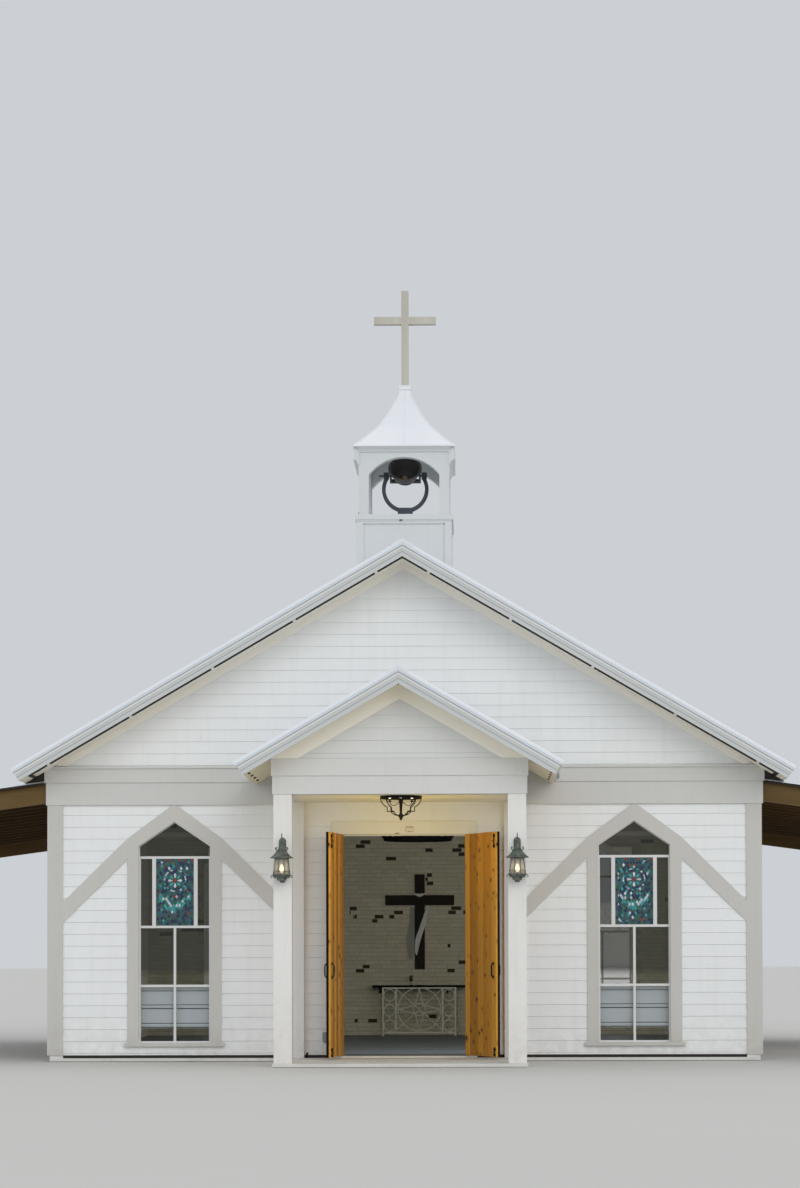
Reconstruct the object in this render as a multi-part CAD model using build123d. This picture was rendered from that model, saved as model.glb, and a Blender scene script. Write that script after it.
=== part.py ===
from build123d import *
import math
import os

# Small timber chapel: gabled hall, gabled front porch, bell cote on the ridge,
# open lean-to roofs along both sides.  X to the right, Y into the building
# (the front looks to -Y), Z up, origin on the ground under the middle of the hall.
os.makedirs("parts", exist_ok=True)

# ---------------------------------------------------------------- dimensions
HALF_W = 4544.0            # half width of the hall, outer wall faces
HALF_L = 4572.0            # half length of the hall, outer wall faces
WALL = 150.0               # wall thickness
SLAB_TOP = 40.0
FLOOR = 60.0               # top of the board floor
PORCH_TOP = 40.0           # top of the porch slab
PITCH = 7.0 / 12.0         # roof slope
S, C = math.sin(math.atan(PITCH)), math.cos(math.atan(PITCH))

ROOF_A = 6560.0            # height of the boarding's top at the ridge
ROOF_T = 144.0             # boarding and rafters, square to the slope
ROOF_X = 4923.0            # half width over the eaves
ROOF_Y = 5172.0            # half length over the rake boards
METAL_T = 20.0             # metal roofing, square to the slope
CEIL_Z = 3640.0

BASE_TRIM = 77.0           # foot of the corner boards
FRIEZE_0, FRIEZE_1, FRIEZE_2 = 3280.0, 3567.0, 3746.0

WIN_X = 2943.0             # window centre from the middle, front and back
WIN_HW, WIN_SILL, WIN_SHOULDER, WIN_APEX = 457.0, 235.0, 2755.0, 3064.0
CASING = 145.0
BAY = 1429.0               # from the window's centre to the end of its bay
SIDE_WIN_Y = 2250.0

DOOR_HW, DOOR_HEAD = 838.0, 2899.0
DOOR_CASING, HEAD_CASING = 89.0, 165.0
DOOR_T = 57.0
HINGE_Y = -4614.0
LEFT_OPEN, RIGHT_OPEN = 98.8, 118.0     # opening angles as they stand

PORCH_A = 4775.0
PORCH_X = 1948.0
PORCH_T = 112.0
PORCH_FRONT = -6922.0      # front face of the porch rake boards
BEAM_FRONT = -6472.0       # front face of the header's upper band
BEAM_0, BEAM_1, BEAM_2 = 3303.0, 3526.0, 3735.0
POST_OUT, POST = 1532.0, 222.0

COTE_Y = -3655.5           # middle of the bell cote
COTE_HW = 616.5
COTE_TOP = 6994.0
CAP_TOP = 7062.0
ARC_HW, ARC_T = 589.0, 120.0
ARC_OPEN, ARC_SPRING, ARC_CROWN = 458.5, 7585.0, 7812.0
ARC_TOP = 7941.0
BELL_Z = 7669.0            # height of the bell's trunnions
BELL_TURN = -122.0         # turned up, mouth to the front

LEAN_X = 7620.0            # outer face of the lean-to posts
LEAN_K = 0.135             # fall of the lean-to roof
LEAN_Z = 3550.0            # top of its beams at the wall


# ------------------------------------------------------------------- helpers
def box(x0, x1, y0, y1, z0, z1):
    return Pos((x0 + x1) / 2, (y0 + y1) / 2, (z0 + z1) / 2) * Box(x1 - x0, y1 - y0, z1 - z0)


def prism_xz(pts, y0, y1):
    f = make_face(Polyline(*[(x, y0, z) for x, z in pts], close=True))
    return extrude(f, amount=y1 - y0, dir=(0, 1, 0))


def prism_xy(pts, z0, z1):
    f = make_face(Polyline(*[(x, y, z0) for x, y in pts], close=True))
    return extrude(f, amount=z1 - z0, dir=(0, 0, 1))


def both(pts):
    """A right-hand outline from the top middle to the bottom middle, made whole."""
    return pts + [(-x, z) for x, z in reversed(pts) if abs(x) > 1e-6]


def mx(part):
    return mirror(part, about=Plane.YZ)


def my(part):
    return mirror(part, about=Plane.XZ)


def roof_band(a, x1, t):
    """Right half of a sloping layer whose top starts at height a over x = 0."""
    z1 = a - PITCH * x1
    return [(0, a), (x1, z1), (x1 - t * S, z1 - t * C), (0, a - t / C)]


def save(name, part):
    if isinstance(part, (list, tuple)):
        solids = []
        for p in part:
            solids += list(p.solids())
        part = solids[0] if len(solids) == 1 else Compound(children=solids)
    else:
        solids = list(part.solids())
        part = solids[0] if len(solids) == 1 else Compound(children=solids)
    export_step(part, "parts/%s.step" % name)


# ------------------------------------------------------ ground slab and floor
save("foundation_slab", box(-HALF_W, HALF_W, -HALF_L, HALF_L, 0, SLAB_TOP))
INNER = HALF_W - WALL              # inner faces of the side walls
INNER_Y = HALF_L - WALL            # inner faces of the front and back walls
save("floor_boards", box(-INNER, INNER, -INNER_Y, INNER_Y, SLAB_TOP, FLOOR))
save("porch_slab", box(-1545, 1545, -6520, -HALF_L, 0, PORCH_TOP))

# --------------------------------------------------------------------- walls
SOFFIT_A = ROOF_A - ROOF_T / C          # underside of the boarding at the ridge


def soffit(x):
    return SOFFIT_A - PITCH * abs(x)


def window_outline(grow=0.0):
    w = WIN_HW + grow
    return [(-w, WIN_SILL - grow), (w, WIN_SILL - grow), (w, WIN_SHOULDER + grow * 0.3),
            (0, WIN_APEX + grow), (-w, WIN_SHOULDER + grow * 0.3)]


def at_front(part, x):
    return part.moved(Location((x, -HALF_L, 0), (0, 0, 0)))


def at_back(part, x):
    return part.moved(Location((x, HALF_L, 0), (0, 0, 180)))


def at_left(part, y):
    return part.moved(Location((-HALF_W, y, 0), (0, 0, -90)))


def at_right(part, y):
    return part.moved(Location((HALF_W, y, 0), (0, 0, 90)))


hole = prism_xz(window_outline(), -60, 260)
front_l = box(-HALF_W, -DOOR_HW - 40, -HALF_L, -INNER_Y, SLAB_TOP, FRIEZE_0) - at_front(hole, -WIN_X)
front_r = box(DOOR_HW + 40, HALF_W, -HALF_L, -INNER_Y, SLAB_TOP, FRIEZE_0) - at_front(hole, WIN_X)
save("front_wall_left", front_l)
save("front_wall_right", front_r)
J = DOOR_HW + 40
save("front_gable", prism_xz([(-J, DOOR_HEAD + 40), (J, DOOR_HEAD + 40), (J, FRIEZE_0), (HALF_W, FRIEZE_0),
                              (HALF_W, soffit(HALF_W)), (0, SOFFIT_A), (-HALF_W, soffit(HALF_W)),
                              (-HALF_W, FRIEZE_0), (-J, FRIEZE_0)], -HALF_L, -INNER_Y))
back = prism_xz([(-HALF_W, SLAB_TOP), (HALF_W, SLAB_TOP), (HALF_W, soffit(HALF_W)), (0, SOFFIT_A),
                 (-HALF_W, soffit(HALF_W))], INNER_Y, HALF_L)
save("back_wall", back - at_back(hole, -WIN_X) - at_back(hole, WIN_X))
side = prism_xz([(-HALF_W, SLAB_TOP), (-INNER, SLAB_TOP), (-INNER, soffit(INNER)), (-HALF_W, soffit(HALF_W))],
                -INNER_Y, INNER_Y)
save("side_walls", [side - at_left(hole, -SIDE_WIN_Y) - at_left(hole, SIDE_WIN_Y),
                    mx(side) - at_right(hole, -SIDE_WIN_Y) - at_right(hole, SIDE_WIN_Y)])
save("ceiling", box(-INNER, INNER, -INNER_Y, INNER_Y, CEIL_Z, CEIL_Z + 40))

# ---------------------------------------------------------------- outer trim
TR = 28.0
corner = prism_xy([(HALF_W - 172, -HALF_L - TR), (HALF_W + TR, -HALF_L - TR), (HALF_W + TR, -HALF_L + 200),
                   (HALF_W, -HALF_L + 200), (HALF_W, -HALF_L), (HALF_W - 172, -HALF_L)], BASE_TRIM, FRIEZE_0)
save("corner_boards", [corner, mx(corner), my(corner), mx(my(corner))])

under_roof = prism_xz([(1561, 3200), (5000, 3200), (5000, soffit(5000)), (1561, soffit(1561))], -4700, -4500)
bands = (box(1561, HALF_W + 46, -HALF_L - 40, -HALF_L, FRIEZE_0, FRIEZE_1)
         + box(1561, HALF_W + 64, -HALF_L - 56, -HALF_L, FRIEZE_1, FRIEZE_2)
         + box(1561, HALF_W + 64, -HALF_L - 74, -HALF_L, FRIEZE_2, FRIEZE_2 + 26))
bands = bands & under_roof
porch_cut = prism_xz([(0, PORCH_A + 60), (PORCH_X + 40, PORCH_A + 60 - PITCH * (PORCH_X + 40)),
                      (PORCH_X + 40, 3638.7 - 30), (PORCH_X - 55, 3541.0),
                      (0, PORCH_A - PORCH_T / C)], -4700, -HALF_L)
bands = bands - porch_cut
save("front_frieze", [bands, mx(bands)])

rake_f = prism_xz(both([(0, SOFFIT_A), (4473, soffit(4473)), (4327, soffit(4473)), (0, SOFFIT_A - 87)]),
                  -HALF_L - TR, -HALF_L)
rb = ROOF_T + 8
rake_b = prism_xz(both(roof_band(ROOF_A, ROOF_X, rb)), -ROOF_Y, -ROOF_Y + 25)

# ------------------------------------------------------------------- windows


def bay_half(bay):
    """Outline of half the trim: head board, brace board down to the bay's end, side casing."""
    return [(0, FRIEZE_0), (24, FRIEZE_0), (602, 2850), (bay, 2850 - (bay - 602) * 0.98),
            (bay, 2588 - (bay - 602) * 0.98), (602, 2588), (602, WIN_SILL), (WIN_HW, WIN_SILL),
            (WIN_HW, WIN_SHOULDER), (0, WIN_APEX)]


sill = box(-640, 640, -62, 0, WIN_SILL - 45, WIN_SILL)
BAY_IN = WIN_X - POST_OUT          # to the porch pilaster
front_trim = prism_xz([(-x, z) for x, z in bay_half(BAY)] + list(reversed(bay_half(BAY_IN)))[1:-1],
                      -TR, 0) + sill     # left window: corner board on its left, pilaster on its right
plain_half = [(0, WIN_APEX + 176), (602, 2833), (602, WIN_SILL), (WIN_HW, WIN_SILL), (WIN_HW, WIN_SHOULDER),
              (0, WIN_APEX)]
plain_trim = prism_xz(both(plain_half), -TR, 0) + sill
save("window_trims", [at_front(front_trim, -WIN_X), at_front(mx(front_trim), WIN_X),
                      at_back(plain_trim, -WIN_X), at_back(plain_trim, WIN_X),
                      at_left(plain_trim, -SIDE_WIN_Y), at_left(plain_trim, SIDE_WIN_Y),
                      at_right(plain_trim, -SIDE_WIN_Y), at_right(plain_trim, SIDE_WIN_Y)])

# frame: top light, transom, middle row of three, transom, pair, transom, pair
FY0, FY1 = 34.0, 80.0
frame = prism_xz(window_outline(), FY0, FY1)
e = 19.0
lights = [prism_xz([(-449, 2624), (449, 2624), (449, 2750), (0, 3053), (-449, 2750)], 0, 120),
          box(-WIN_HW + e, -291, 0, 120, 1734.5, 2592.5), box(291, WIN_HW - e, 0, 120, 1734.5, 2592.5),
          box(-243, 243, 0, 120, 1734.5, 2592.5),
          box(-WIN_HW + e, -15.5, 0, 120, 978, 1703), box(15.5, WIN_HW - e, 0, 120, 978, 1703),
          box(-WIN_HW + e, -15.5, 0, 120, 255, 946), box(15.5, WIN_HW - e, 0, 120, 255, 946)]
for lt in lights:
    frame = frame - lt
glass = prism_xz([(-450, 242), (450, 242), (450, 2753), (0, 3055), (-450, 2753)], FY1, FY1 + 6)
panel = box(-242, 242, 56, 70, 1736, 2591)
inner = (box(-455, 455, 118, 140, 420, 941) + box(-455, 455, 100, 140, 911, 941)
         + box(-455, 455, 100, 140, 682, 712) + box(-455, 455, 100, 140, 445, 475))
places = [lambda p: at_front(p, -WIN_X), lambda p: at_front(p, WIN_X), lambda p: at_back(p, -WIN_X),
          lambda p: at_back(p, WIN_X), lambda p: at_left(p, -SIDE_WIN_Y), lambda p: at_left(p, SIDE_WIN_Y),
          lambda p: at_right(p, -SIDE_WIN_Y), lambda p: at_right(p, SIDE_WIN_Y)]
save("window_frames", [f(frame) for f in places])
save("window_glass", [f(glass) for f in places])
save("coloured_glass_panels", [at_front(panel, -WIN_X), at_front(panel, WIN_X)])
save("window_inner_boards", [at_front(inner, -WIN_X), at_front(inner, WIN_X)])

# ------------------------------------------------------------------- doorway
jamb_pts = [(-J, FLOOR), (-DOOR_HW, FLOOR), (-DOOR_HW, DOOR_HEAD), (DOOR_HW, DOOR_HEAD), (DOOR_HW, FLOOR),
            (J, FLOOR), (J, DOOR_HEAD + 40), (-J, DOOR_HEAD + 40)]
lining = prism_xz(jamb_pts, -HALF_L, -INNER_Y)
cw = DOOR_HW + DOOR_CASING
casing = prism_xz([(-cw, PORCH_TOP), (-DOOR_HW, PORCH_TOP), (-DOOR_HW, DOOR_HEAD), (DOOR_HW, DOOR_HEAD),
                   (DOOR_HW, PORCH_TOP), (cw, PORCH_TOP), (cw, DOOR_HEAD + HEAD_CASING),
                   (-cw, DOOR_HEAD + HEAD_CASING)], -HALF_L - TR, -HALF_L)
stop = prism_xz([(-DOOR_HW, FLOOR), (-DOOR_HW + 20, FLOOR), (-DOOR_HW + 20, DOOR_HEAD - 20),
                 (DOOR_HW - 20, DOOR_HEAD - 20), (DOOR_HW - 20, FLOOR), (DOOR_HW, FLOOR),
                 (DOOR_HW, DOOR_HEAD), (-DOOR_HW, DOOR_HEAD)], -4535, -4505)
threshold = box(-J, J, -HALF_L, -INNER_Y, SLAB_TOP, FLOOR)
save("door_frame", lining + casing + stop + threshold)

LEAF_0, LEAF_1 = 72.0, 2892.0


def leaf_parts():
    """Left leaf, closed: planks, then the iron pieces on it."""
    leaf = box(-DOOR_HW + 5, -5, -4600, -4600 + DOOR_T, LEAF_0, LEAF_1)
    yi = -4600 + DOOR_T                   # inner face
    iron = []
    for hz in (300, 1480, 2660):
        strap = box(-832, -510, -4610, -4600, hz - 25, hz + 25)
        knuckle = Pos(-DOOR_HW, HINGE_Y, hz) * Cylinder(8, 110)
        iron.append(strap + knuckle)
    for y0, y1, face in ((yi, yi + 40, 1), (-4640, -4600, -1)):
        grip_y = (y1 - 12, y1) if face > 0 else (y0, y0 + 12)
        grip = box(-79, -55, grip_y[0], grip_y[1], 1062, 1255)
        grip += box(-79, -55, y0, y1, 1062, 1088) + box(-79, -55, y0, y1, 1229, 1255)
        iron.append(grip)
    for z0, z1 in ((76, 196), (2686, 2868)):      # short foot and head bolts near the free edge
        bolt = Pos(-34, yi + 13, (z0 + z1) / 2) * Cylinder(7, z1 - z0)
        for bz in (z0 + 26, z1 - 26):
            bolt += box(-48, -20, yi, yi + 23, bz - 12, bz + 12)
        iron.append(bolt)
    return leaf, iron


leaf, iron = leaf_parts()


def swing(part, x, angle):
    return part.moved(Location((-x, -HINGE_Y, 0))).moved(Location((0, 0, 0), (0, 0, angle))).moved(
        Location((x, HINGE_Y, 0)))


save("left_door", swing(leaf, -DOOR_HW, -LEFT_OPEN))
save("left_door_ironwork", [swing(p, -DOOR_HW, -LEFT_OPEN) for p in iron])
save("right_door", swing(mx(leaf), DOOR_HW, RIGHT_OPEN))
save("right_door_ironwork", [swing(mx(p), DOOR_HW, RIGHT_OPEN) for p in iron])

# --------------------------------------------------------------------- porch
POST_Y = BEAM_FRONT + 29
post = box(POST_OUT - POST, POST_OUT, POST_Y, POST_Y + POST, PORCH_TOP, BEAM_0)
pilaster = box(POST_OUT - POST - 31, POST_OUT, -HALF_L - 90, -HALF_L, PORCH_TOP, BEAM_0)
save("porch_posts", [post, mx(post)])
save("porch_pilasters", [pilaster, mx(pilaster)])
BI = 1296.0
BYI = -6207.0
beam = (box(-1546, 1546, BEAM_FRONT + 15, BYI, BEAM_0, BEAM_1)
        + box(-1560, 1560, BEAM_FRONT, BYI, BEAM_1, BEAM_2))
sbeam = box(BI, 1546, BYI, -HALF_L, BEAM_0, BEAM_1) + box(BI, 1560, BYI, -HALF_L, BEAM_1, BEAM_2)
save("porch_beams", beam + sbeam + mx(sbeam))
save("porch_ceiling", box(-BI, BI, BYI, -HALF_L, 3310, 3330))
P_SOFFIT = PORCH_A - PORCH_T / C
TG = -6457.0
save("porch_gable", prism_xz([(-1560, BEAM_2), (1560, BEAM_2), (0, P_SOFFIT)], TG, TG + 100))
save("porch_roof_boards", prism_xz(both(roof_band(PORCH_A, PORCH_X, PORCH_T)), PORCH_FRONT + 25, -HALF_L))
p_metal = PORCH_A + METAL_T / C
pm = [(0, p_metal), (PORCH_X + 12 + METAL_T * S, PORCH_A - PITCH * (PORCH_X + 12) + METAL_T * C),
      (PORCH_X + 12, PORCH_A - PITCH * (PORCH_X + 12)), (0, PORCH_A)]
save("porch_roofing", prism_xz(both(pm), PORCH_FRONT - 16, -HALF_L))
cap = [(0, p_metal + 22), (115, p_metal + 22 - PITCH * 115), (115, p_metal - PITCH * 115), (0, p_metal)]
porch_cap = prism_xz(both(cap), PORCH_FRONT - 24, -HALF_L)
prake = prism_xz(both(roof_band(PORCH_A, PORCH_X, 155)), PORCH_FRONT, PORCH_FRONT + 25)
pfr = prism_xz(both([(0, P_SOFFIT), (1560, BEAM_2), (1236, BEAM_2), (0, P_SOFFIT - 189)]), TG - TR, TG)
save("rake_boards", [rake_b, rake_f, my(rake_b), my(rake_f), prake, pfr])

# ceiling light: round iron basket close under the porch ceiling
LIGHT_Y = -5950.0
lp = [(0, 3310), (257, 3310), (257, 3271), (240, 3262), (222, 3215), (171, 3167), (169, 3112), (119, 3112),
      (60, 3075), (38, 3055), (20, 3030), (0, 2998)]
light = Pos(0, LIGHT_Y, 0) * revolve(make_face(Polyline(*[(r, 0, z) for r, z in lp], close=True)), axis=Axis.Z,
                                     revolution_arc=360)
save("porch_ceiling_light", light)

# wall lanterns on the front faces of the posts
LAN_X = POST_OUT - POST / 2
LAN_Y = POST_Y - 150


def lantern(x):
    prof = [(0, 2225), (10, 2232), (16, 2246), (50, 2250), (62, 2275), (84, 2300), (112, 2306), (112, 2316),
            (86, 2518), (142, 2520), (142, 2528), (96, 2560), (60, 2600), (46, 2634), (20, 2650), (12, 2700),
            (8, 2760), (0, 2823)]
    f = make_face(Polyline(*[(r, 0, z) for r, z in prof], close=True))
    body = Pos(x, LAN_Y, 0) * revolve(f, axis=Axis.Z, revolution_arc=360)
    plate = box(x - 45, x + 45, POST_Y - 14, POST_Y, 2560, 2780)
    arm = box(x - 10, x + 10, LAN_Y, POST_Y - 10, 2690, 2712)
    low = box(x - 8, x + 8, LAN_Y, POST_Y - 10, 2252, 2266) + box(x - 30, x + 30, POST_Y - 14, POST_Y, 2230, 2290)
    return body + plate + arm + low


save("lanterns", [lantern(LAN_X), lantern(-LAN_X)])

# ----------------------------------------------------------------- main roof
save("roof_boards", prism_xz(both(roof_band(ROOF_A, ROOF_X, ROOF_T)), -ROOF_Y + 25, ROOF_Y - 25))
m_a = ROOF_A + METAL_T / C
mm = [(0, m_a), (ROOF_X + 12 + METAL_T * S, ROOF_A - PITCH * (ROOF_X + 12) + METAL_T * C),
      (ROOF_X + 12, ROOF_A - PITCH * (ROOF_X + 12)), (0, ROOF_A)]
save("metal_roofing", prism_xz(both(mm), -ROOF_Y - 16, ROOF_Y + 16))
rc = both([(0, m_a + 22), (135, m_a + 22 - PITCH * 135), (135, m_a - PITCH * 135), (0, m_a)])
save("ridge_caps", [prism_xz(rc, -ROOF_Y - 24, COTE_Y - COTE_HW), prism_xz(rc, COTE_Y + COTE_HW, ROOF_Y + 24),
                    porch_cap])

# ----------------------------------------------------------------- bell cote
cy0, cy1 = COTE_Y - COTE_HW, COTE_Y + COTE_HW
base = box(-COTE_HW, COTE_HW, cy0, cy1, 6100, COTE_TOP)
base -= box(-COTE_HW + 100, COTE_HW - 100, cy0 + 100, cy1 - 100, 6000, COTE_TOP - 60)
below = prism_xz([(0, m_a), (900, m_a - PITCH * 900), (900, 5900), (-900, 5900), (-900, m_a - PITCH * 900)],
                 cy0 - 50, cy1 + 50)
base -= below
pw, pt = COTE_HW - 90, COTE_TOP - 50
for q in (box(-pw, pw, cy0, cy0 + 18, 6000, pt), box(-pw, pw, cy1 - 18, cy1, 6000, pt),
          box(-COTE_HW, -COTE_HW + 18, cy0 + 90, cy1 - 90, 6000, pt),
          box(COTE_HW - 18, COTE_HW, cy0 + 90, cy1 - 90, 6000, pt)):
    base -= q
save("bell_cote_base", base)
save("bell_cote_sill_cap", box(-COTE_HW - 18, COTE_HW + 18, cy0 - 18, cy1 + 18, COTE_TOP, CAP_TOP))

arcade = box(-ARC_HW, ARC_HW, COTE_Y - ARC_HW, COTE_Y + ARC_HW, CAP_TOP, ARC_TOP)
ai = ARC_HW - ARC_T
arcade -= box(-ai, ai, COTE_Y - ai, COTE_Y + ai, CAP_TOP - 10, ARC_TOP + 10)
arcade += (box(-ARC_HW - 18, ARC_HW + 18, COTE_Y - ARC_HW - 18, COTE_Y + ARC_HW + 18, 7880, ARC_TOP)
           - box(-ai, ai, COTE_Y - ai, COTE_Y + ai, 7870, ARC_TOP + 10))
rise = ARC_CROWN - ARC_SPRING
ARC_R = (ARC_OPEN ** 2 + rise ** 2) / (2 * rise)
arch = Pos(0, COTE_Y, ARC_CROWN - ARC_R) * Rot(90, 0, 0) * Cylinder(ARC_R, 1500)
arch = arch & box(-ARC_OPEN, ARC_OPEN, COTE_Y - 750, COTE_Y + 750, ARC_SPRING, ARC_CROWN + 5)
arch = arch + box(-ARC_OPEN, ARC_OPEN, COTE_Y - 750, COTE_Y + 750, CAP_TOP - 5, ARC_SPRING)
arch_x = arch.moved(Location((0, -COTE_Y, 0))).moved(Location((0, 0, 0), (0, 0, 90))).moved(
    Location((0, COTE_Y, 0)))
# boxed boards under the eaves of the two sides
skirt = prism_xz([(580, 7941), (657, 7941), (657, 7780), (640, 7774), (622, 7770), (589, 7714), (580, 7714)],
                 COTE_Y - ARC_HW - 18, COTE_Y + ARC_HW + 18)
save("bell_cote_arcade", (arcade - arch - arch_x) + skirt + mx(skirt))

levels = [(661, 7941), (661, 7960), (571.5, 8028), (452, 8147), (333, 8274), (228, 8431), (154, 8573),
          (79, 8722), (67.5, 8800)]
sections = [Pos(0, COTE_Y, z) * Rectangle(2 * h, 2 * h) for h, z in levels]
spire = loft(sections, ruled=True)
spire += box(-80, 80, COTE_Y - 80, COTE_Y + 80, 8800, 8851)
save("bell_cote_roof", spire)
cross = (box(-47.5, 47.5, COTE_Y - 47.5, COTE_Y + 47.5, 8851, 10117)
         + box(-408, 408, COTE_Y - 47.5, COTE_Y + 47.5, 9675, 9772))
save("roof_cross", cross)

# bell, drawn hanging about its trunnion line, then turned up to where it stands


def set_bell(part):
    return part.moved(Location((0, 0, 0), (BELL_TURN, 0, 0))).moved(Location((0, COTE_Y, BELL_Z)))


outer = Spline((0, 0, 82), (45, 0, 80), (90, 0, 70), (128, 0, 46), (150, 0, 12), (165, 0, -28), (181, 0, -72),
               (198, 0, -108), (222, 0, -138), tangents=((1, 0, 0), (1, 0, -0.9)))
lip = Polyline((222, 0, -138), (222, 0, -146), (192, 0, -146), (186, 0, -132))
innr = Spline((186, 0, -132), (171, 0, -76), (153, 0, -28), (138, 0, 8), (116, 0, 38), (80, 0, 58),
              (40, 0, 66), (0, 0, 68), tangents=((-0.3, 0, 1), (-1, 0, 0)))
axis_l = Line((0, 0, 68), (0, 0, 82))
bell = revolve(make_face([outer, lip, innr, axis_l]), axis=Axis.Z, revolution_arc=360)
save("bell", set_bell(bell))
yoke = box(-205, 205, -22, 22, 82, 122) + box(178, 205, -22, 22, -20, 122) + box(-205, -178, -22, 22, -20, 122)
yoke += Pos(247.5, 0, 0) * Rot(0, 90, 0) * Cylinder(14, 85)
yoke += Pos(-275, 0, 0) * Rot(0, 90, 0) * Cylinder(14, 140)
yoke += Pos(0, 0, 130) * Cylinder(18, 16)
save("bell_yoke", set_bell(yoke))
rod_len = 190.0
clap = Pos(0, 0, -rod_len / 2) * Cylinder(9, rod_len)
clap += Pos(0, 0, -rod_len) * Sphere(40)
clap = clap.moved(Location((0, 0, 0), (42, 0, 0))).moved(Location((0, 0, 52)))
boss = Pos(0, 0, 58) * Cylinder(22, 14)
clap = clap + boss
save("bell_clapper", set_bell(clap - bell))

RING_Z = 7490.0
ring = Pos(0, COTE_Y, RING_Z) * Rot(90, 0, 0) * (Cylinder(308, 50) - Cylinder(259, 60))
ring -= box(-400, 400, COTE_Y - 60, COTE_Y + 60, 7640, 7900)
for sx in (-1, 1):
    x0, x1 = sorted((sx * 216, sx * 284))
    ring += box(x0, x1, COTE_Y - 32, COTE_Y + 32, 7625, 7712)
ring += box(-98, 98, COTE_Y - 60, COTE_Y + 60, CAP_TOP, 7240)
ring -= Pos(0, COTE_Y, BELL_Z) * Rot(0, 90, 0) * Cylinder(15.5, 800)
save("bell_cradle", ring)

# ------------------------------------------------------------- side lean-tos


def lz(x):
    return LEAN_Z - LEAN_K * (x - HALF_W)


def sloped(x0, x1, depth, y0, y1, lift=0.0):
    return prism_xz([(x0, lz(x0) + lift), (x1, lz(x1) + lift), (x1, lz(x1) + lift - depth),
                     (x0, lz(x0) + lift - depth)], y0, y1)


EX0 = LEAN_X - 150
end_beam = sloped(HALF_W + TR, EX0 - 1, 236, -4560, -4470)
eave_beam = prism_xz([(EX0, lz(EX0)), (LEAN_X, lz(LEAN_X)), (LEAN_X, 2900), (EX0, 2900)], -4560, 4560)
ledger = prism_xz([(HALF_W, lz(HALF_W)), (HALF_W + 40, lz(HALF_W + 40)), (HALF_W + 40, 3350), (HALF_W, 3350)],
                  -4368, 4368)
back_beam = sloped(HALF_W + TR, EX0 - 1, 300, 4470, 4560)
right_beams = [end_beam, back_beam, eave_beam, ledger]
save("lean_to_beams", right_beams + [mx(p) for p in right_beams])
posts = [box(EX0, LEAN_X, y - 75, y + 75, 0, 2900) for y in (-4485, -1495, 1495, 4485)]
save("lean_to_posts", posts + [mx(p) for p in posts])
raf = [sloped(HALF_W + 42, EX0 - 1, 140, y - 22, y + 22) for y in [-3900 + 600 * i for i in range(14)]]
save("lean_to_rafters", raf + [mx(p) for p in raf])
lroof = sloped(HALF_W + 68, LEAN_X + 100, 30, -4640, 4640, lift=30)
save("lean_to_roofs", [lroof, mx(lroof)])

# -------------------------------------------------------------------- inside
AY0, AY1 = 3900.0, 4400.0
table = box(-750, 750, AY0, AY1, 838, 865)
for sx in (-1, 1):                     # slim legs at the back, the panel's posts carry the front
    table += box(sx * 586 - 12, sx * 586 + 12, AY1 - 52, AY1 - 28, FLOOR, 838)
save("altar_table", table)
# openwork panel under the table's front edge: frame, ring with a four-pointed star, side columns of rings
PY0, PY1, PZ = AY0 + 12, AY0 + 28, 484.0


def p_ring(x, z, r, w, inset):
    h = PY1 - PY0 - 2 * inset
    return Pos(x, (PY0 + PY1) / 2, z) * Rot(90, 0, 0) * (Cylinder(r, h) - Cylinder(r - w, 2 * h))


def p_bar(x0, z0, x1, z1, w, inset):
    n = math.hypot(x1 - x0, z1 - z0)
    u, v = (x1 - x0) / n * w / 2, (z1 - z0) / n * w / 2
    return prism_xz([(x0 - v, z0 + u), (x1 - v, z1 + u), (x1 + v, z1 - u), (x0 + v, z0 - u)],
                    PY0 + inset, PY1 - inset)


pan = box(-592, 592, PY0, PY1, 812, 838) + box(-592, 592, PY0, PY1, 104, 130)
for sx in (-1, 1):
    pan += box(sx * 577 - 15, sx * 577 + 15, PY0, PY1, FLOOR, 838)
    pan += box(sx * 370 - 13, sx * 370 + 13, PY0 + 1, PY1 - 1, 110, 830)
    for rz in (230, 471, 712):
        pan += p_ring(sx * 473.5, rz, 97, 14, 2)
    for rz in (351, 592):
        pan += box(sx * 473.5 - 8, sx * 473.5 + 8, PY0 + 3, PY1 - 3, rz - 32, rz + 32)
pan += p_ring(0, PZ, 348, 14, 2) + p_ring(0, PZ, 104, 14, 2)
for k in range(4):
    a = math.radians(90 * k)
    tx, tz = 341 * math.cos(a), 341 * math.sin(a)
    for d in (45, -45):
        b = a + math.radians(d)
        pan += p_bar(tx, PZ + tz, 95 * math.cos(b), PZ + 95 * math.sin(b), 13, 3)
for d in (1, -1):
    pan += p_bar(-362, PZ - d * 322, 362, PZ + d * 322, 12, 4.5)
save("altar_panel", pan)
GOBLET_X, GOBLET_Y = -138.0, 4130.0
gp = [(0, 865), (26, 865), (25, 870), (6, 878), (5, 925), (15, 934), (27, 960), (30, 1022), (27, 1022),
      (24, 962), (12, 946), (0, 943)]
goblet = revolve(make_face(Polyline(*[(r, 0, z) for r, z in gp], close=True)), axis=Axis.Z, revolution_arc=360)
save("goblet", Pos(GOBLET_X, GOBLET_Y, 0) * goblet)
CY0, CY1 = INNER_Y - 50, INNER_Y - 12
wc = box(-80, 80, CY0, CY1, 1121, 2649) + box(-554, 554, CY0, CY1, 2152, 2314)
save("wall_cross", wc)
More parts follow.
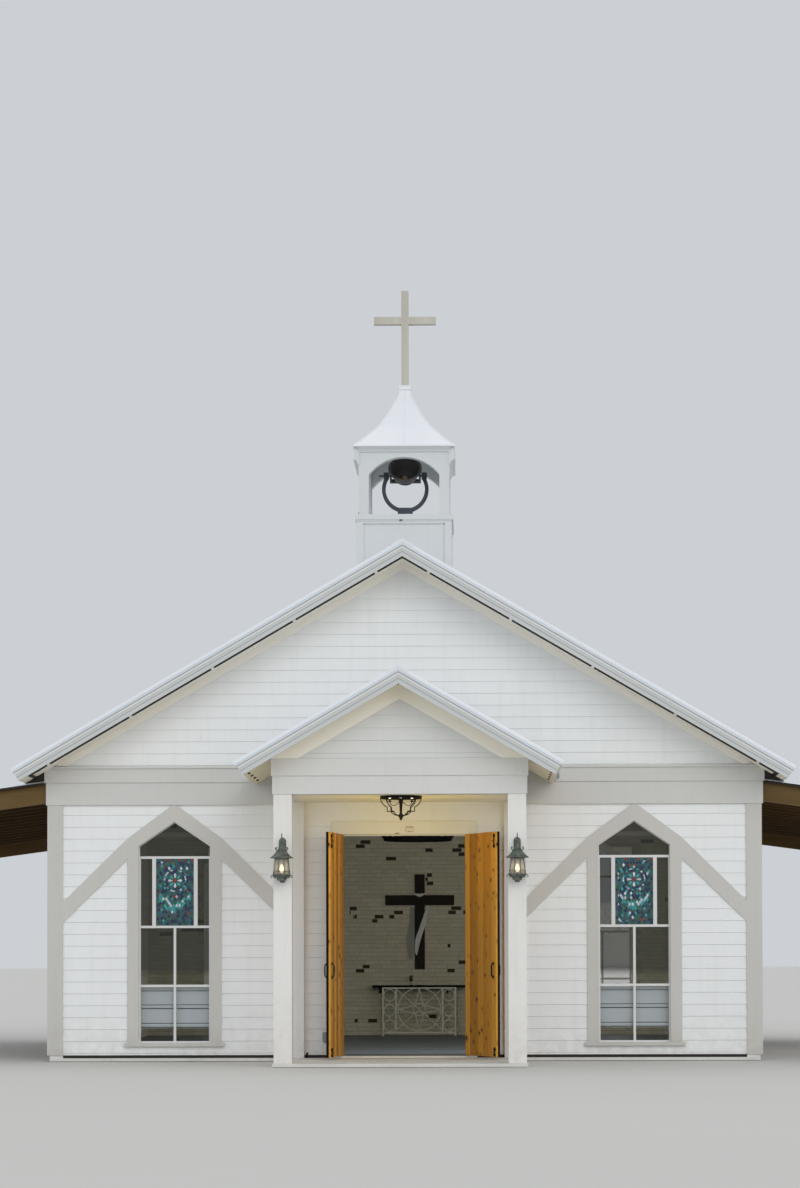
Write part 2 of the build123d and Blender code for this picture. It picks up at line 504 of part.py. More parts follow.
# white scarf over the cross: neck in front of the upright, one tail beside it, one across it
neck = prism_xz([(-92, 2346), (-60, 2310), (0, 2286), (60, 2310), (112, 2346), (70, 2352), (0, 2344), (-60, 2352)],
                CY0 - 22, CY0)
tail_l = prism_xz([(-80, 2150), (-142, 2150), (-155, 1941), (-207, 1486), (-185, 1277), (-110, 1277),
                   (-80, 1420)], CY0 + 2, CY1 - 6)
tail_r = prism_xz([(155, 2148), (127, 1979), (113, 1827), (37, 1700), (9, 1562), (-35, 1372), (-77, 1372),
                   (-67, 1562), (-16, 1713), (37, 1850), (75, 1979), (107, 2148)], CY0 - 22, CY0)
save("cross_drape", [neck, tail_l, tail_r])

CH_Y = 3000.0
ringc = Pos(0, CH_Y, 3159.5) * (Cylinder(527, 55) - Cylinder(499, 60))
hub = Pos(0, CH_Y, 3440) * Cylinder(40, 60)
for a in range(0, 360, 90):
    dx, dy = math.cos(math.radians(a)), math.sin(math.radians(a))
    p0 = Vector(dx * 512, CH_Y + dy * 512, 3172)
    p1 = Vector(dx * 28, CH_Y + dy * 28, 3440)
    d = p1 - p0
    rod = extrude(Plane(origin=p0, z_dir=d) * Circle(9), amount=d.length)
    hub = hub + rod
chand = ringc + hub + Pos(0, CH_Y, 3555) * Cylinder(12, 170) + Pos(0, CH_Y, 3628) * Cylinder(70, 24)
for a in range(4):                     # four of the candle cups carry the ring's straps
    b = math.radians(37.5 + 90 * a)
    chand += Pos(math.cos(b) * 535, CH_Y + math.sin(b) * 535, 3240) * Cylinder(20, 116)
save("chandelier", chand)
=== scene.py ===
import bpy
import bmesh
import math
import random
from mathutils import Matrix, Vector


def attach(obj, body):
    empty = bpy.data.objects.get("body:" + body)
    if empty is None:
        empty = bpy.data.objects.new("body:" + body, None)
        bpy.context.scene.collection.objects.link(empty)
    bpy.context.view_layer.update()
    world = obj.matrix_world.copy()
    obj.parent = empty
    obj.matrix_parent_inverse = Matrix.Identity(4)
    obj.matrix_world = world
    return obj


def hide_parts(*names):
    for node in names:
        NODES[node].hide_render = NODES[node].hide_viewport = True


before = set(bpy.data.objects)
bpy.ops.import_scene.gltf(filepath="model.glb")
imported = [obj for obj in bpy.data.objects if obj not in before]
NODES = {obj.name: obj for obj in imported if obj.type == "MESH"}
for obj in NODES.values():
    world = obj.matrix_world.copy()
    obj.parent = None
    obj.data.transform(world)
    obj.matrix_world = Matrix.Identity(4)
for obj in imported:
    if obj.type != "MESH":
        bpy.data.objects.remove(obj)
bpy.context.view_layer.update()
rnd = random.Random(7143)

# ------------------------------------------------------------------ dimensions, mm
HALF_W, HALF_L, WALL = 4544.0, 4572.0, 150.0
INNER, INNER_Y = HALF_W - WALL, HALF_L - WALL
PITCH = 7.0 / 12.0
S, C = math.sin(math.atan(PITCH)), math.cos(math.atan(PITCH))
ROOF_A, ROOF_T, ROOF_X, ROOF_Y, METAL_T = 6560.0, 144.0, 4923.0, 5172.0, 20.0
SOFFIT_A = ROOF_A - ROOF_T / C
WIN_X, SIDE_WIN_Y = 2943.0, 2250.0
PORCH_A, PORCH_X, PORCH_T, PORCH_FRONT = 4775.0, 1948.0, 112.0, -6922.0
P_SOFFIT = PORCH_A - PORCH_T / C
COTE_Y, COTE_HW = -3655.5, 616.5
LEAN_X, LEAN_K, LEAN_Z = 7620.0, 0.135, 3550.0
HINGE_X, HINGE_Y = 838.0, -4614.0
COURSE = 152.4


def soffit(x):
    return SOFFIT_A - PITCH * abs(x)


def lz(x):
    return LEAN_Z - LEAN_K * (abs(x) - HALF_W)


# ------------------------------------------------------------------ camera
YAW, PITCH_C, ROLL = math.radians(0.6813), math.radians(1.6136), math.radians(-0.149)
fwd = Vector((-math.sin(YAW) * math.cos(PITCH_C), math.cos(YAW) * math.cos(PITCH_C), math.sin(PITCH_C)))
right = Vector((math.cos(YAW), math.sin(YAW), 0.0))
up = right.cross(fwd)
r2 = right * math.cos(ROLL) + up * math.sin(ROLL)
u2 = up * math.cos(ROLL) - right * math.sin(ROLL)
cam_data = bpy.data.cameras.new("camera")
cam = bpy.data.objects.new("camera", cam_data)
bpy.context.scene.collection.objects.link(cam)
bpy.context.scene.camera = cam
cam.matrix_world = Matrix((
    (r2.x, u2.x, -fwd.x, 0.965),
    (r2.y, u2.y, -fwd.y, -39.072),
    (r2.z, u2.z, -fwd.z, 1.348),
    (0, 0, 0, 1)))
cam_data.sensor_width = 36.0
cam_data.lens = 2696.9 / 1188.0 * 36.0
cam_data.shift_x = -0.04
cam_data.shift_y = 0.24
cam_data.clip_start = 0.5
cam_data.clip_end = 600.0


# ------------------------------------------------------------------ materials
def mat(name):
    m = bpy.data.materials.new(name)
    m.use_nodes = True
    nt = m.node_tree
    nt.nodes.clear()
    out = nt.nodes.new("ShaderNodeOutputMaterial")
    p = nt.nodes.new("ShaderNodeBsdfPrincipled")
    nt.links.new(p.outputs[0], out.inputs[0])
    return m, nt, p


class N:
    """Short names for building a node tree."""

    def __init__(self, nt):
        self.nt = nt

    def new(self, kind, **kw):
        n = self.nt.nodes.new(kind)
        for k, v in kw.items():
            setattr(n, k, v)
        return n

    def link(self, a, b):
        self.nt.links.new(a, b)

    def coords(self, scale=(1, 1, 1), offset=None):
        tc = self.new("ShaderNodeTexCoord")
        mp = self.new("ShaderNodeMapping")
        mp.inputs["Scale"].default_value = scale
        self.link(tc.outputs["Object"], mp.inputs["Vector"])
        if offset is not None:
            self.link(offset, mp.inputs["Location"])
        return mp.outputs[0]

    def noise(self, vec, scale, detail=3.0, rough=0.5, dist=0.0):
        n = self.new("ShaderNodeTexNoise")
        n.inputs["Scale"].default_value = scale
        n.inputs["Detail"].default_value = detail
        n.inputs["Roughness"].default_value = rough
        n.inputs["Distortion"].default_value = dist
        self.link(vec, n.inputs["Vector"])
        return n.outputs["Fac"]

    def attr(self, name):
        a = self.new("ShaderNodeAttribute")
        a.attribute_type = "GEOMETRY"
        a.attribute_name = name
        return a.outputs["Fac"]

    def ramp(self, fac, stops):
        r = self.new("ShaderNodeValToRGB")
        el = r.color_ramp.elements
        while len(el) < len(stops):
            el.new(0.5)
        for e, (pos, col) in zip(el, stops):
            e.position = pos
            e.color = (*col, 1.0)
        self.link(fac, r.inputs["Fac"])
        return r.outputs["Color"]

    def grey(self, fac, stops):
        return self.ramp(fac, [(p, (v, v, v)) for p, v in stops])

    def mix(self, fac, a, b, mode="MIX"):
        m = self.new("ShaderNodeMix", data_type="RGBA", blend_type=mode)
        f, ia, ib = m.inputs[0], m.inputs[6], m.inputs[7]
        for sock, v in ((f, fac), (ia, a), (ib, b)):
            if isinstance(v, (int, float)):
                sock.default_value = v
            elif isinstance(v, (tuple, list)):
                sock.default_value = (*v, 1.0) if len(v) == 3 else v
            else:
                self.link(v, sock)
        return m.outputs[2]

    def math(self, op, a, b=0.0, clamp=False):
        m = self.new("ShaderNodeMath", operation=op, use_clamp=clamp)
        for sock, v in ((m.inputs[0], a), (m.inputs[1], b)):
            if isinstance(v, (int, float)):
                sock.default_value = v
            else:
                self.link(v, sock)
        return m.outputs[0]

    def bump(self, height, strength, distance, p):
        b = self.new("ShaderNodeBump")
        b.inputs["Strength"].default_value = strength
        b.inputs["Distance"].default_value = distance
        self.link(height, b.inputs["Height"])
        self.link(b.outputs[0], p.inputs["Normal"])


def paint(name, base, tint, rough=0.55, grain=(1.0, 1.0, 9.0), dirt=0.10, low=None, spec=0.35, bounce_lit=None):
    """Painted timber: faint grain, uneven sheen, per-board tone, soft weather marks low down."""
    m, nt, p = mat(name)
    n = N(nt)
    v = n.coords(grain)
    g = n.noise(v, 7.0, 6.0, 0.62, 0.4)
    big = n.noise(n.coords(), 0.55, 3.0, 0.55)
    col = n.mix(n.math("MULTIPLY", n.grey(big, [(0.3, 0.0), (0.72, 1.0)]), 0.8), base, tint)
    board = n.attr("rnd")
    col = n.mix(0.5, col, n.mix(n.math("MULTIPLY", board, 0.22), col, tuple(c * 0.86 for c in base)))
    streak = n.noise(n.coords((6.0, 6.0, 0.5)), 2.2, 5.0, 0.65)
    mask = n.grey(streak, [(0.48, 0.0), (0.72, 1.0)])
    col = n.mix(n.math("MULTIPLY", mask, dirt), col, tuple(c * k for c, k in zip(base, (0.62, 0.60, 0.52))))
    if low is not None:
        sep = n.new("ShaderNodeSeparateXYZ")
        tc = n.new("ShaderNodeTexCoord")
        n.link(tc.outputs["Object"], sep.inputs[0])
        near = n.new("ShaderNodeMapRange")
        near.inputs["From Min"].default_value = 0.05
        near.inputs["From Max"].default_value = low
        near.inputs["To Min"].default_value = 1.0
        near.inputs["To Max"].default_value = 0.0
        n.link(sep.outputs["Z"], near.inputs["Value"])
        splash = n.noise(n.coords((3.0, 3.0, 3.0)), 3.0, 6.0, 0.7)
        f = n.math("MULTIPLY", near.outputs[0], n.grey(splash, [(0.35, 0.0), (0.75, 1.0)]))
        col = n.mix(n.math("MULTIPLY", f, 0.5), col, tuple(c * k for c, k in zip(base, (0.60, 0.56, 0.48))))
    if bounce_lit is not None:
        # painted bounce light: the frieze boards under the overhangs, close to the gable faces, get a warmer, lighter
        # colour for light thrown up from the ground
        yz = n.new("ShaderNodeSeparateXYZ")
        oc = n.new("ShaderNodeTexCoord")
        n.link(oc.outputs["Object"], yz.inputs[0])
        ay = n.math("ABSOLUTE", yz.outputs["Y"])
        hall = n.math("LESS_THAN", ay, 4.9)
        porch = n.math("MULTIPLY", n.math("GREATER_THAN", ay, 5.6), n.math("LESS_THAN", ay, 6.85))
        bounce_lit_col = n.mix(n.math("MULTIPLY", g, 0.3), bounce_lit, tuple(c * 0.92 for c in bounce_lit))
        col = n.mix(n.math("ADD", hall, porch), col, bounce_lit_col)
    n.link(col, p.inputs["Base Color"])
    r = n.math("ADD", n.math("MULTIPLY", g, 0.18), rough - 0.09)
    n.link(r, p.inputs["Roughness"])
    p.inputs["Specular IOR Level"].default_value = spec
    n.bump(g, 0.16, 0.002, p)
    return m


def timber(name, dark, mid, light, axis="Z", scale=1.0, knots=0.5, knot_cell=4.0, knot_r=0.11, knot_col=(0.03, 0.012, 0.006),
           rough=0.42, coat=0.0, grain_strength=0.25, stretch=12.0, sat_by_board=0.35, spec=0.4, tone_mix=0.32, knot_draw=0.62):
    """Boards with long grain along one axis, knots drawn out along it, and a tone of their own."""
    m, nt, p = mat(name)
    n = N(nt)
    board = n.attr("rnd")
    off = n.new("ShaderNodeCombineXYZ")
    for i in range(3):
        n.link(n.math("MULTIPLY", board, 13.7 + 7.3 * i), off.inputs[i])
    sc = {"X": (scale / stretch, scale, scale), "Y": (scale, scale / stretch, scale), "Z": (scale, scale, scale / stretch)}[axis]
    v = n.coords(sc, off.outputs[0])
    ks = {"X": (knot_draw, 1.0, 1.0), "Y": (1.0, knot_draw, 1.0), "Z": (1.0, 1.0, knot_draw)}[axis]
    kv = n.coords(ks, off.outputs[0])
    vor = n.new("ShaderNodeTexVoronoi", feature="F1")
    vor.inputs["Scale"].default_value = knot_cell
    vor.inputs["Randomness"].default_value = 1.0
    n.link(kv, vor.inputs["Vector"])
    sepc = n.new("ShaderNodeSeparateColor")
    n.link(vor.outputs["Color"], sepc.inputs[0])
    has = n.math("LESS_THAN", sepc.outputs[0], knots)
    size = n.math("ADD", n.math("MULTIPLY", sepc.outputs[1], 0.7), 0.55)
    d = n.math("DIVIDE", vor.outputs["Distance"], size)
    core = n.math("MULTIPLY", has, n.grey(d, [(knot_r * 0.72, 1.0), (knot_r, 0.0)]))
    halo = n.math("MULTIPLY", has, n.grey(d, [(knot_r * 0.8, 1.0), (min(0.95, knot_r * 2.6), 0.0)]))
    warp = n.new("ShaderNodeVectorMath", operation="ADD")
    wob = n.new("ShaderNodeCombineXYZ")
    for i in range(3):
        n.link(n.math("MULTIPLY", halo, 0.05 * scale), wob.inputs[i])
    n.link(v, warp.inputs[0])
    n.link(wob.outputs[0], warp.inputs[1])
    g = n.noise(warp.outputs[0], 9.0, 7.0, 0.62, 0.9)
    fine = n.noise(warp.outputs[0], 46.0, 4.0, 0.6, 0.2)
    wide = n.noise(v, 3.1, 3.0, 0.5, 0.6)
    col = n.ramp(g, [(0.30, dark), (0.50, mid), (0.72, light)])
    col = n.mix(0.45, col, n.ramp(wide, [(0.32, tuple(c * 0.72 for c in mid)), (0.68, light)]))
    col = n.mix(n.math("MULTIPLY", fine, 0.30), col, dark)
    tone = n.ramp(board, [(0.0, tuple(c * (1 - sat_by_board) for c in mid)), (0.5, mid), (1.0, tuple(min(1.0, c * (1 + sat_by_board)) for c in light))])
    col = n.mix(tone_mix, col, tone)
    col = n.mix(n.math("MULTIPLY", halo, 0.55), col, tuple(c * 0.5 for c in dark))
    col = n.mix(core, col, knot_col)
    n.link(col, p.inputs["Base Color"])
    r = n.math("ADD", n.math("MULTIPLY", g, 0.22), rough - 0.1)
    n.link(r, p.inputs["Roughness"])
    p.inputs["Specular IOR Level"].default_value = spec
    p.inputs["Coat Weight"].default_value = coat
    p.inputs["Coat Roughness"].default_value = 0.22
    h = n.math("SUBTRACT", n.math("ADD", g, n.math("MULTIPLY", fine, 0.4)), n.math("MULTIPLY", core, 0.8))
    n.bump(h, grain_strength, 0.002, p)
    return m


def metal(name, base, dark, rough=0.35, metallic=0.0, scale=3.0, spec=0.5, bump=0.05, patch=0.35):
    m, nt, p = mat(name)
    n = N(nt)
    a = n.noise(n.coords(), scale, 5.0, 0.6)
    b = n.noise(n.coords(), scale * 9.0, 4.0, 0.6)
    f = n.math("MULTIPLY", n.grey(a, [(0.4, 0.0), (0.75, 1.0)]), patch)
    col = n.mix(f, base, dark)
    col = n.mix(n.math("MULTIPLY", n.grey(b, [(0.5, 0.0), (0.8, 1.0)]), patch * 0.5), col, dark)
    n.link(col, p.inputs["Base Color"])
    n.link(n.math("ADD", n.math("MULTIPLY", b, 0.2), rough - 0.08), p.inputs["Roughness"])
    p.inputs["Metallic"].default_value = metallic
    p.inputs["Specular IOR Level"].default_value = spec
    n.bump(b, bump * 4, 0.001, p)
    return m


def concrete(name, base, dark):
    m, nt, p = mat(name)
    n = N(nt)
    a = n.noise(n.coords(), 1.4, 6.0, 0.62)
    b = n.noise(n.coords(), 26.0, 6.0, 0.7)
    col = n.mix(n.grey(a, [(0.35, 0.0), (0.7, 1.0)]), base, tuple(c * 0.86 for c in base))
    col = n.mix(n.math("MULTIPLY", n.grey(b, [(0.5, 0.0), (0.8, 1.0)]), 0.5), col, dark)
    n.link(col, p.inputs["Base Color"])
    n.link(n.math("ADD", n.math("MULTIPLY", b, 0.2), 0.7), p.inputs["Roughness"])
    n.bump(b, 0.35, 0.004, p)
    return m


M = {}
M["wall"] = paint("wall_paint", (0.830, 0.836, 0.836), (0.800, 0.806, 0.804), 0.55, (1.2, 1.2, 14.0), 0.10, 0.75)
M["trim"] = paint("trim_paint", (0.745, 0.738, 0.720), (0.715, 0.708, 0.690), 0.5, (1.2, 1.2, 1.2), 0.08, 0.5)
# painted shade: the window trims and corner boards are a much darker copy of the white paint
M["casing"] = paint("casing_shaded_paint", (0.575, 0.558, 0.525), (0.545, 0.528, 0.495), 0.5, (1.2, 1.2, 1.2), 0.08, 0.5)
# painted lamp light: the door frame is a yellowed copy of the white paint, for the porch lamp's warm light
M["doorcase"] = paint("door_casing_lamp_lit_paint", (0.745, 0.730, 0.660), (0.715, 0.700, 0.630), 0.5, (1.2, 1.2, 1.2), 0.06, 0.5)
# painted bounce light: the soffits are drawn warm and light for light thrown up from the ground, the porch soffit
# warmer still
M["soffit"] = paint("soffit_bounce_lit_paint", (0.92, 0.885, 0.785), (0.89, 0.855, 0.755), 0.55, (1.2, 1.2, 1.2), 0.05)
M["porchsoffit"] = paint("porch_soffit_bounce_lit_paint", (0.92, 0.835, 0.62), (0.89, 0.805, 0.59), 0.55, (1.2, 1.2, 1.2), 0.05)
# painted shade: a darker copy of the white wall paint for the porch gable
M["porchwall"] = paint("porch_gable_shaded_paint", (0.710, 0.712, 0.702), (0.680, 0.682, 0.672), 0.55, (1.2, 1.2, 14.0), 0.08)
# painted shade: a darker copy of the white paint for the porch beams
M["header"] = paint("header_shaded_paint", (0.690, 0.682, 0.662), (0.660, 0.652, 0.632), 0.5, (1.2, 1.2, 1.2), 0.08)
# painted shade: a darker copy of the white paint for the front frieze
M["frieze"] = paint("frieze_shaded_paint", (0.610, 0.602, 0.580), (0.580, 0.572, 0.550), 0.5, (1.2, 1.2, 1.2), 0.06)
# painted shade and painted bounce light: the rake boards are a grey copy of the white paint for the shade they stand
# in, and their frieze boards take the warm light colour given last
M["rake"] = paint("rake_shade_and_bounce_paint", (0.575, 0.585, 0.577), (0.545, 0.555, 0.547), 0.5, (1.2, 1.2, 1.2), 0.05, None, 0.35,
                  (0.93, 0.895, 0.815))
# painted shade: the white boards behind the lower window panes are drawn darker and bluish
M["inboard"] = paint("inner_board_shaded_paint", (0.56, 0.60, 0.62), (0.53, 0.57, 0.59), 0.5, (1.2, 1.2, 8.0), 0.04)
M["post"] = paint("post_paint", (0.815, 0.795, 0.765), (0.775, 0.752, 0.720), 0.5, (5.0, 5.0, 0.6), 0.16, 0.9)
# painted lamp light: the porch ceiling and its boards are drawn warm yellow for the porch lamp's glow and light thrown
# up from the ground
M["cream"] = paint("porch_lamp_lit_paint", (0.800, 0.755, 0.620), (0.770, 0.725, 0.590), 0.55, (1.2, 1.2, 14.0), 0.05)
# painted shade: the bell cote is a darker copy of the white paint
M["cote"] = paint("cote_shaded_paint", (0.660, 0.680, 0.685), (0.630, 0.650, 0.655), 0.5, (1.2, 1.2, 5.0), 0.08)
M["sash"] = paint("sash_paint", (0.70, 0.70, 0.69), (0.67, 0.67, 0.66), 0.4, (3.0, 3.0, 3.0), 0.04)
M["roof"] = metal("roof_metal_paint", (0.80, 0.815, 0.845), (0.70, 0.72, 0.755), 0.34, 0.0, 0.8, 0.6, 0.03, 0.35)
M["edge"] = metal("edge_metal_paint", (0.62, 0.67, 0.71), (0.52, 0.57, 0.61), 0.36, 0.0, 1.2, 0.6, 0.03, 0.35)
M["concrete"] = concrete("slab_concrete", (0.70, 0.685, 0.645), (0.47, 0.45, 0.41))
M["iron"] = metal("black_iron_paint", (0.008, 0.008, 0.008), (0.018, 0.017, 0.016), 0.6, 0.0, 6.0, 0.2, 0.2, 0.5)
M["ironmatte"] = metal("chandelier_iron_paint", (0.005, 0.006, 0.009), (0.012, 0.013, 0.016), 0.7, 0.0, 6.0, 0.15, 0.2, 0.5)
M["lantern"] = metal("lantern_bronze", (0.085, 0.100, 0.085), (0.26, 0.30, 0.25), 0.5, 0.45, 14.0, 0.5, 0.3, 0.9)
M["bell"] = metal("bell_cast_iron", (0.070, 0.070, 0.067), (0.100, 0.096, 0.092), 0.5, 0.0, 5.0, 0.5, 0.4, 0.6)
M["cradle"] = metal("cradle_cast_iron", (0.040, 0.050, 0.066), (0.085, 0.10, 0.125), 0.48, 0.35, 5.0, 0.5, 0.4, 0.6)
M["whiteiron"] = metal("white_iron_paint", (0.48, 0.495, 0.455), (0.36, 0.36, 0.32), 0.55, 0.0, 8.0, 0.4, 0.3, 0.6)
M["bolt"] = metal("bolt_zinc", (0.62, 0.63, 0.64), (0.35, 0.35, 0.36), 0.35, 0.6, 20.0, 0.5, 0.2, 0.5)
M["brass"] = metal("goblet_brass", (0.07, 0.05, 0.028), (0.03, 0.02, 0.012), 0.22, 0.9, 12.0, 0.5, 0.1, 0.5)
M["hub"] = metal("clapper_rusted", (0.22, 0.14, 0.05), (0.07, 0.045, 0.025), 0.6, 0.4, 26.0, 0.4, 0.5, 0.9)
M["door"] = timber("door_planks", (0.24, 0.092, 0.009), (0.47, 0.205, 0.022), (0.66, 0.335, 0.050), "Z", 1.0, 0.90, 6.6, 0.150,
                   (0.040, 0.013, 0.004), 0.42, 0.05, 0.22, 14.0, 0.50, 0.18, 0.50, 1.05)
M["pine"] = timber("pine_beams", (0.080, 0.042, 0.011), (0.160, 0.093, 0.028), (0.225, 0.147, 0.053), "X", 1.0, 0.5, 3.4, 0.075,
                   (0.03, 0.012, 0.005), 0.6, 0.0, 0.35, 12.0, 0.30, 0.25)
# painted shade: the lean-to rafters are a much darker copy of the pine of the beams and posts, for the shade under the
# roofs
M["pineR"] = timber("pine_rafters_shaded", (0.034, 0.016, 0.004), (0.075, 0.038, 0.009), (0.115, 0.064, 0.018), "X", 1.0, 0.5, 3.4, 0.075,
                    (0.02, 0.008, 0.004), 0.6, 0.0, 0.35, 12.0, 0.30, 0.2)
M["pineZ"] = timber("pine_posts", (0.090, 0.047, 0.013), (0.180, 0.105, 0.034), (0.250, 0.163, 0.062), "Z", 1.0, 0.5, 3.4, 0.075,
                    (0.05, 0.02, 0.008), 0.6, 0.0, 0.35, 12.0, 0.30)
# painted shade: the lean-to roof boards, likewise a darker copy of the same pine
M["pineY"] = timber("pine_boards_shaded", (0.034, 0.014, 0.003), (0.075, 0.035, 0.006), (0.115, 0.060, 0.013), "Y", 1.0, 0.4, 3.0, 0.07,
                    (0.02, 0.008, 0.004), 0.6, 0.0, 0.35, 12.0, 0.35, 0.2)
M["crosswood"] = timber("cross_timber", (0.42, 0.38, 0.31), (0.56, 0.53, 0.46), (0.66, 0.64, 0.58), "Z", 1.0, 0.25, 3.4, 0.06,
                        (0.22, 0.16, 0.10), 0.75, 0.0, 0.5, 14.0, 0.12)
M["dark"] = timber("dark_timber", (0.007, 0.005, 0.005), (0.012, 0.009, 0.009), (0.020, 0.014, 0.013), "Z", 1.0, 0.2, 3.0, 0.06,
                   (0.005, 0.003, 0.002), 0.6, 0.0, 0.3, 12.0, 0.2, 0.12)
M["floor"] = timber("floor_planks", (0.070, 0.085, 0.112), (0.115, 0.140, 0.180), (0.170, 0.203, 0.255), "X", 1.0, 0.2, 3.0, 0.05,
                    (0.03, 0.03, 0.035), 0.5, 0.08, 0.3, 12.0, 0.22, 0.3)


def brick_material():
    m, nt, p = mat("brick_whitewash")
    n = N(nt)
    v = n.coords()
    r = n.attr("rnd")
    bare = n.attr("bare")
    mott = n.noise(v, 24.0, 6.0, 0.7)
    big = n.noise(v, 5.0, 4.0, 0.6)
    wash = n.mix(n.grey(mott, [(0.35, 0.0), (0.7, 1.0)]), (0.50, 0.495, 0.44), (0.40, 0.39, 0.325))
    wash = n.mix(n.math("MULTIPLY", r, 0.45), wash, (0.33, 0.32, 0.255))
    wash = n.mix(n.math("MULTIPLY", n.grey(big, [(0.55, 0.0), (0.78, 1.0)]), 0.35), wash, (0.22, 0.19, 0.15))
    raw = n.mix(n.grey(mott, [(0.3, 0.0), (0.7, 1.0)]), (0.020, 0.016, 0.013), (0.050, 0.040, 0.030))
    edge = n.math("ADD", bare, n.math("MULTIPLY", n.math("SUBTRACT", mott, 0.56), 1.3))
    col = n.mix(n.grey(edge, [(0.50, 0.0), (0.78, 1.0)]), wash, raw)
    n.link(col, p.inputs["Base Color"])
    p.inputs["Roughness"].default_value = 0.85
    p.inputs["Specular IOR Level"].default_value = 0.2
    n.bump(mott, 0.7, 0.006, p)
    return m


def mortar_material():
    m, nt, p = mat("mortar_whitewash_shaded")
    n = N(nt)
    a = n.noise(n.coords(), 40.0, 5.0, 0.7)
    # painted shade: the whitewashed mortar is drawn darker than the wash on the bricks, for the shade in the recessed
    # joints
    n.link(n.mix(a, (0.29, 0.285, 0.24), (0.36, 0.35, 0.30)), p.inputs["Base Color"])
    p.inputs["Roughness"].default_value = 0.95
    n.bump(a, 0.6, 0.004, p)
    return m


def plaster(name, base):
    m, nt, p = mat(name)
    n = N(nt)
    a = n.noise(n.coords(), 3.0, 5.0, 0.6)
    b = n.noise(n.coords(), 60.0, 4.0, 0.6)
    n.link(n.mix(n.math("MULTIPLY", a, 0.4), base, tuple(c * 0.85 for c in base)), p.inputs["Base Color"])
    p.inputs["Roughness"].default_value = 0.8
    n.bump(b, 0.2, 0.002, p)
    return m


def glass_material():
    m, nt, p = mat("clear_glass")
    n = N(nt)
    a = n.noise(n.coords(), 1.3, 2.0, 0.5)
    # painted dark reflection and painted shade: the dark olive colour stands for the window's reflection and the shaded
    # room behind it
    col = n.mix(a, (0.020, 0.023, 0.014), (0.034, 0.037, 0.024))
    n.link(col, p.inputs["Base Color"])
    p.inputs["Roughness"].default_value = 0.03
    p.inputs["Specular IOR Level"].default_value = 0.5
    sep = n.new("ShaderNodeSeparateXYZ")
    tc = n.new("ShaderNodeTexCoord")
    n.link(tc.outputs["Object"], sep.inputs[0])
    # the glass is nearly clear below 1.08 m and far more opaque above 1.18 m, so the upper panes carry more of the
    # painted darkness
    painted_dark_rise = n.new("ShaderNodeMapRange")
    painted_dark_rise.inputs["From Min"].default_value = 1.08
    painted_dark_rise.inputs["From Max"].default_value = 1.18
    painted_dark_rise.inputs["To Min"].default_value = 0.08
    painted_dark_rise.inputs["To Max"].default_value = 0.46
    n.link(sep.outputs["Z"], painted_dark_rise.inputs["Value"])
    n.link(painted_dark_rise.outputs[0], p.inputs["Alpha"])
    n.bump(a, 0.02, 0.004, p)
    return m


def glow(name, col, strength, base):
    m, nt, p = mat(name)
    n = N(nt)
    a = n.noise(n.coords(), 30.0, 3.0, 0.6)
    c = n.mix(n.math("MULTIPLY", a, 0.35), col, tuple(min(1.0, x * 1.15) for x in col))
    n.link(c, p.inputs["Emission Color"])
    p.inputs["Emission Strength"].default_value = strength
    p.inputs["Base Color"].default_value = (*base, 1)
    p.inputs["Roughness"].default_value = 0.3
    return m


def lantern_glass():
    m, nt, p = mat("lantern_seeded_glass")
    n = N(nt)
    a = n.noise(n.coords(), 42.0, 3.0, 0.6)
    col = n.mix(a, (0.55, 0.50, 0.42), (0.74, 0.68, 0.58))
    n.link(col, p.inputs["Base Color"])
    p.inputs["Roughness"].default_value = 0.18
    p.inputs["Alpha"].default_value = 0.42
    n.bump(a, 0.6, 0.004, p)
    return m


def stained(name, base, alt, rough=0.14):
    m, nt, p = mat(name)
    n = N(nt)
    a = n.noise(n.coords(), 16.0, 4.0, 0.6, 1.2)
    b = n.attr("rnd")
    col = n.mix(n.grey(a, [(0.3, 0.0), (0.7, 1.0)]), base, alt)
    col = n.mix(n.math("MULTIPLY", b, 0.45), col, tuple(c * 0.45 for c in base))
    n.link(col, p.inputs["Base Color"])
    p.inputs["Roughness"].default_value = rough
    p.inputs["Specular IOR Level"].default_value = 0.5
    n.bump(a, 0.35, 0.003, p)
    return m


def cloth_material():
    m, nt, p = mat("white_scarf_cloth")
    n = N(nt)
    w = n.noise(n.coords((1, 1, 1)), 320.0, 2.0, 0.5)
    a = n.noise(n.coords(), 6.0, 3.0, 0.5)
    tail_darkening = n.attr("tail_darkening")
    cloth = n.mix(n.math("MULTIPLY", a, 0.5), (0.56, 0.58, 0.60), (0.45, 0.47, 0.49))
    # the long tail is drawn in a darker grey
    n.link(n.mix(tail_darkening, cloth, (0.26, 0.27, 0.275)), p.inputs["Base Color"])
    p.inputs["Roughness"].default_value = 0.85
    p.inputs["Sheen Weight"].default_value = 0.3
    n.bump(w, 0.3, 0.001, p)
    return m


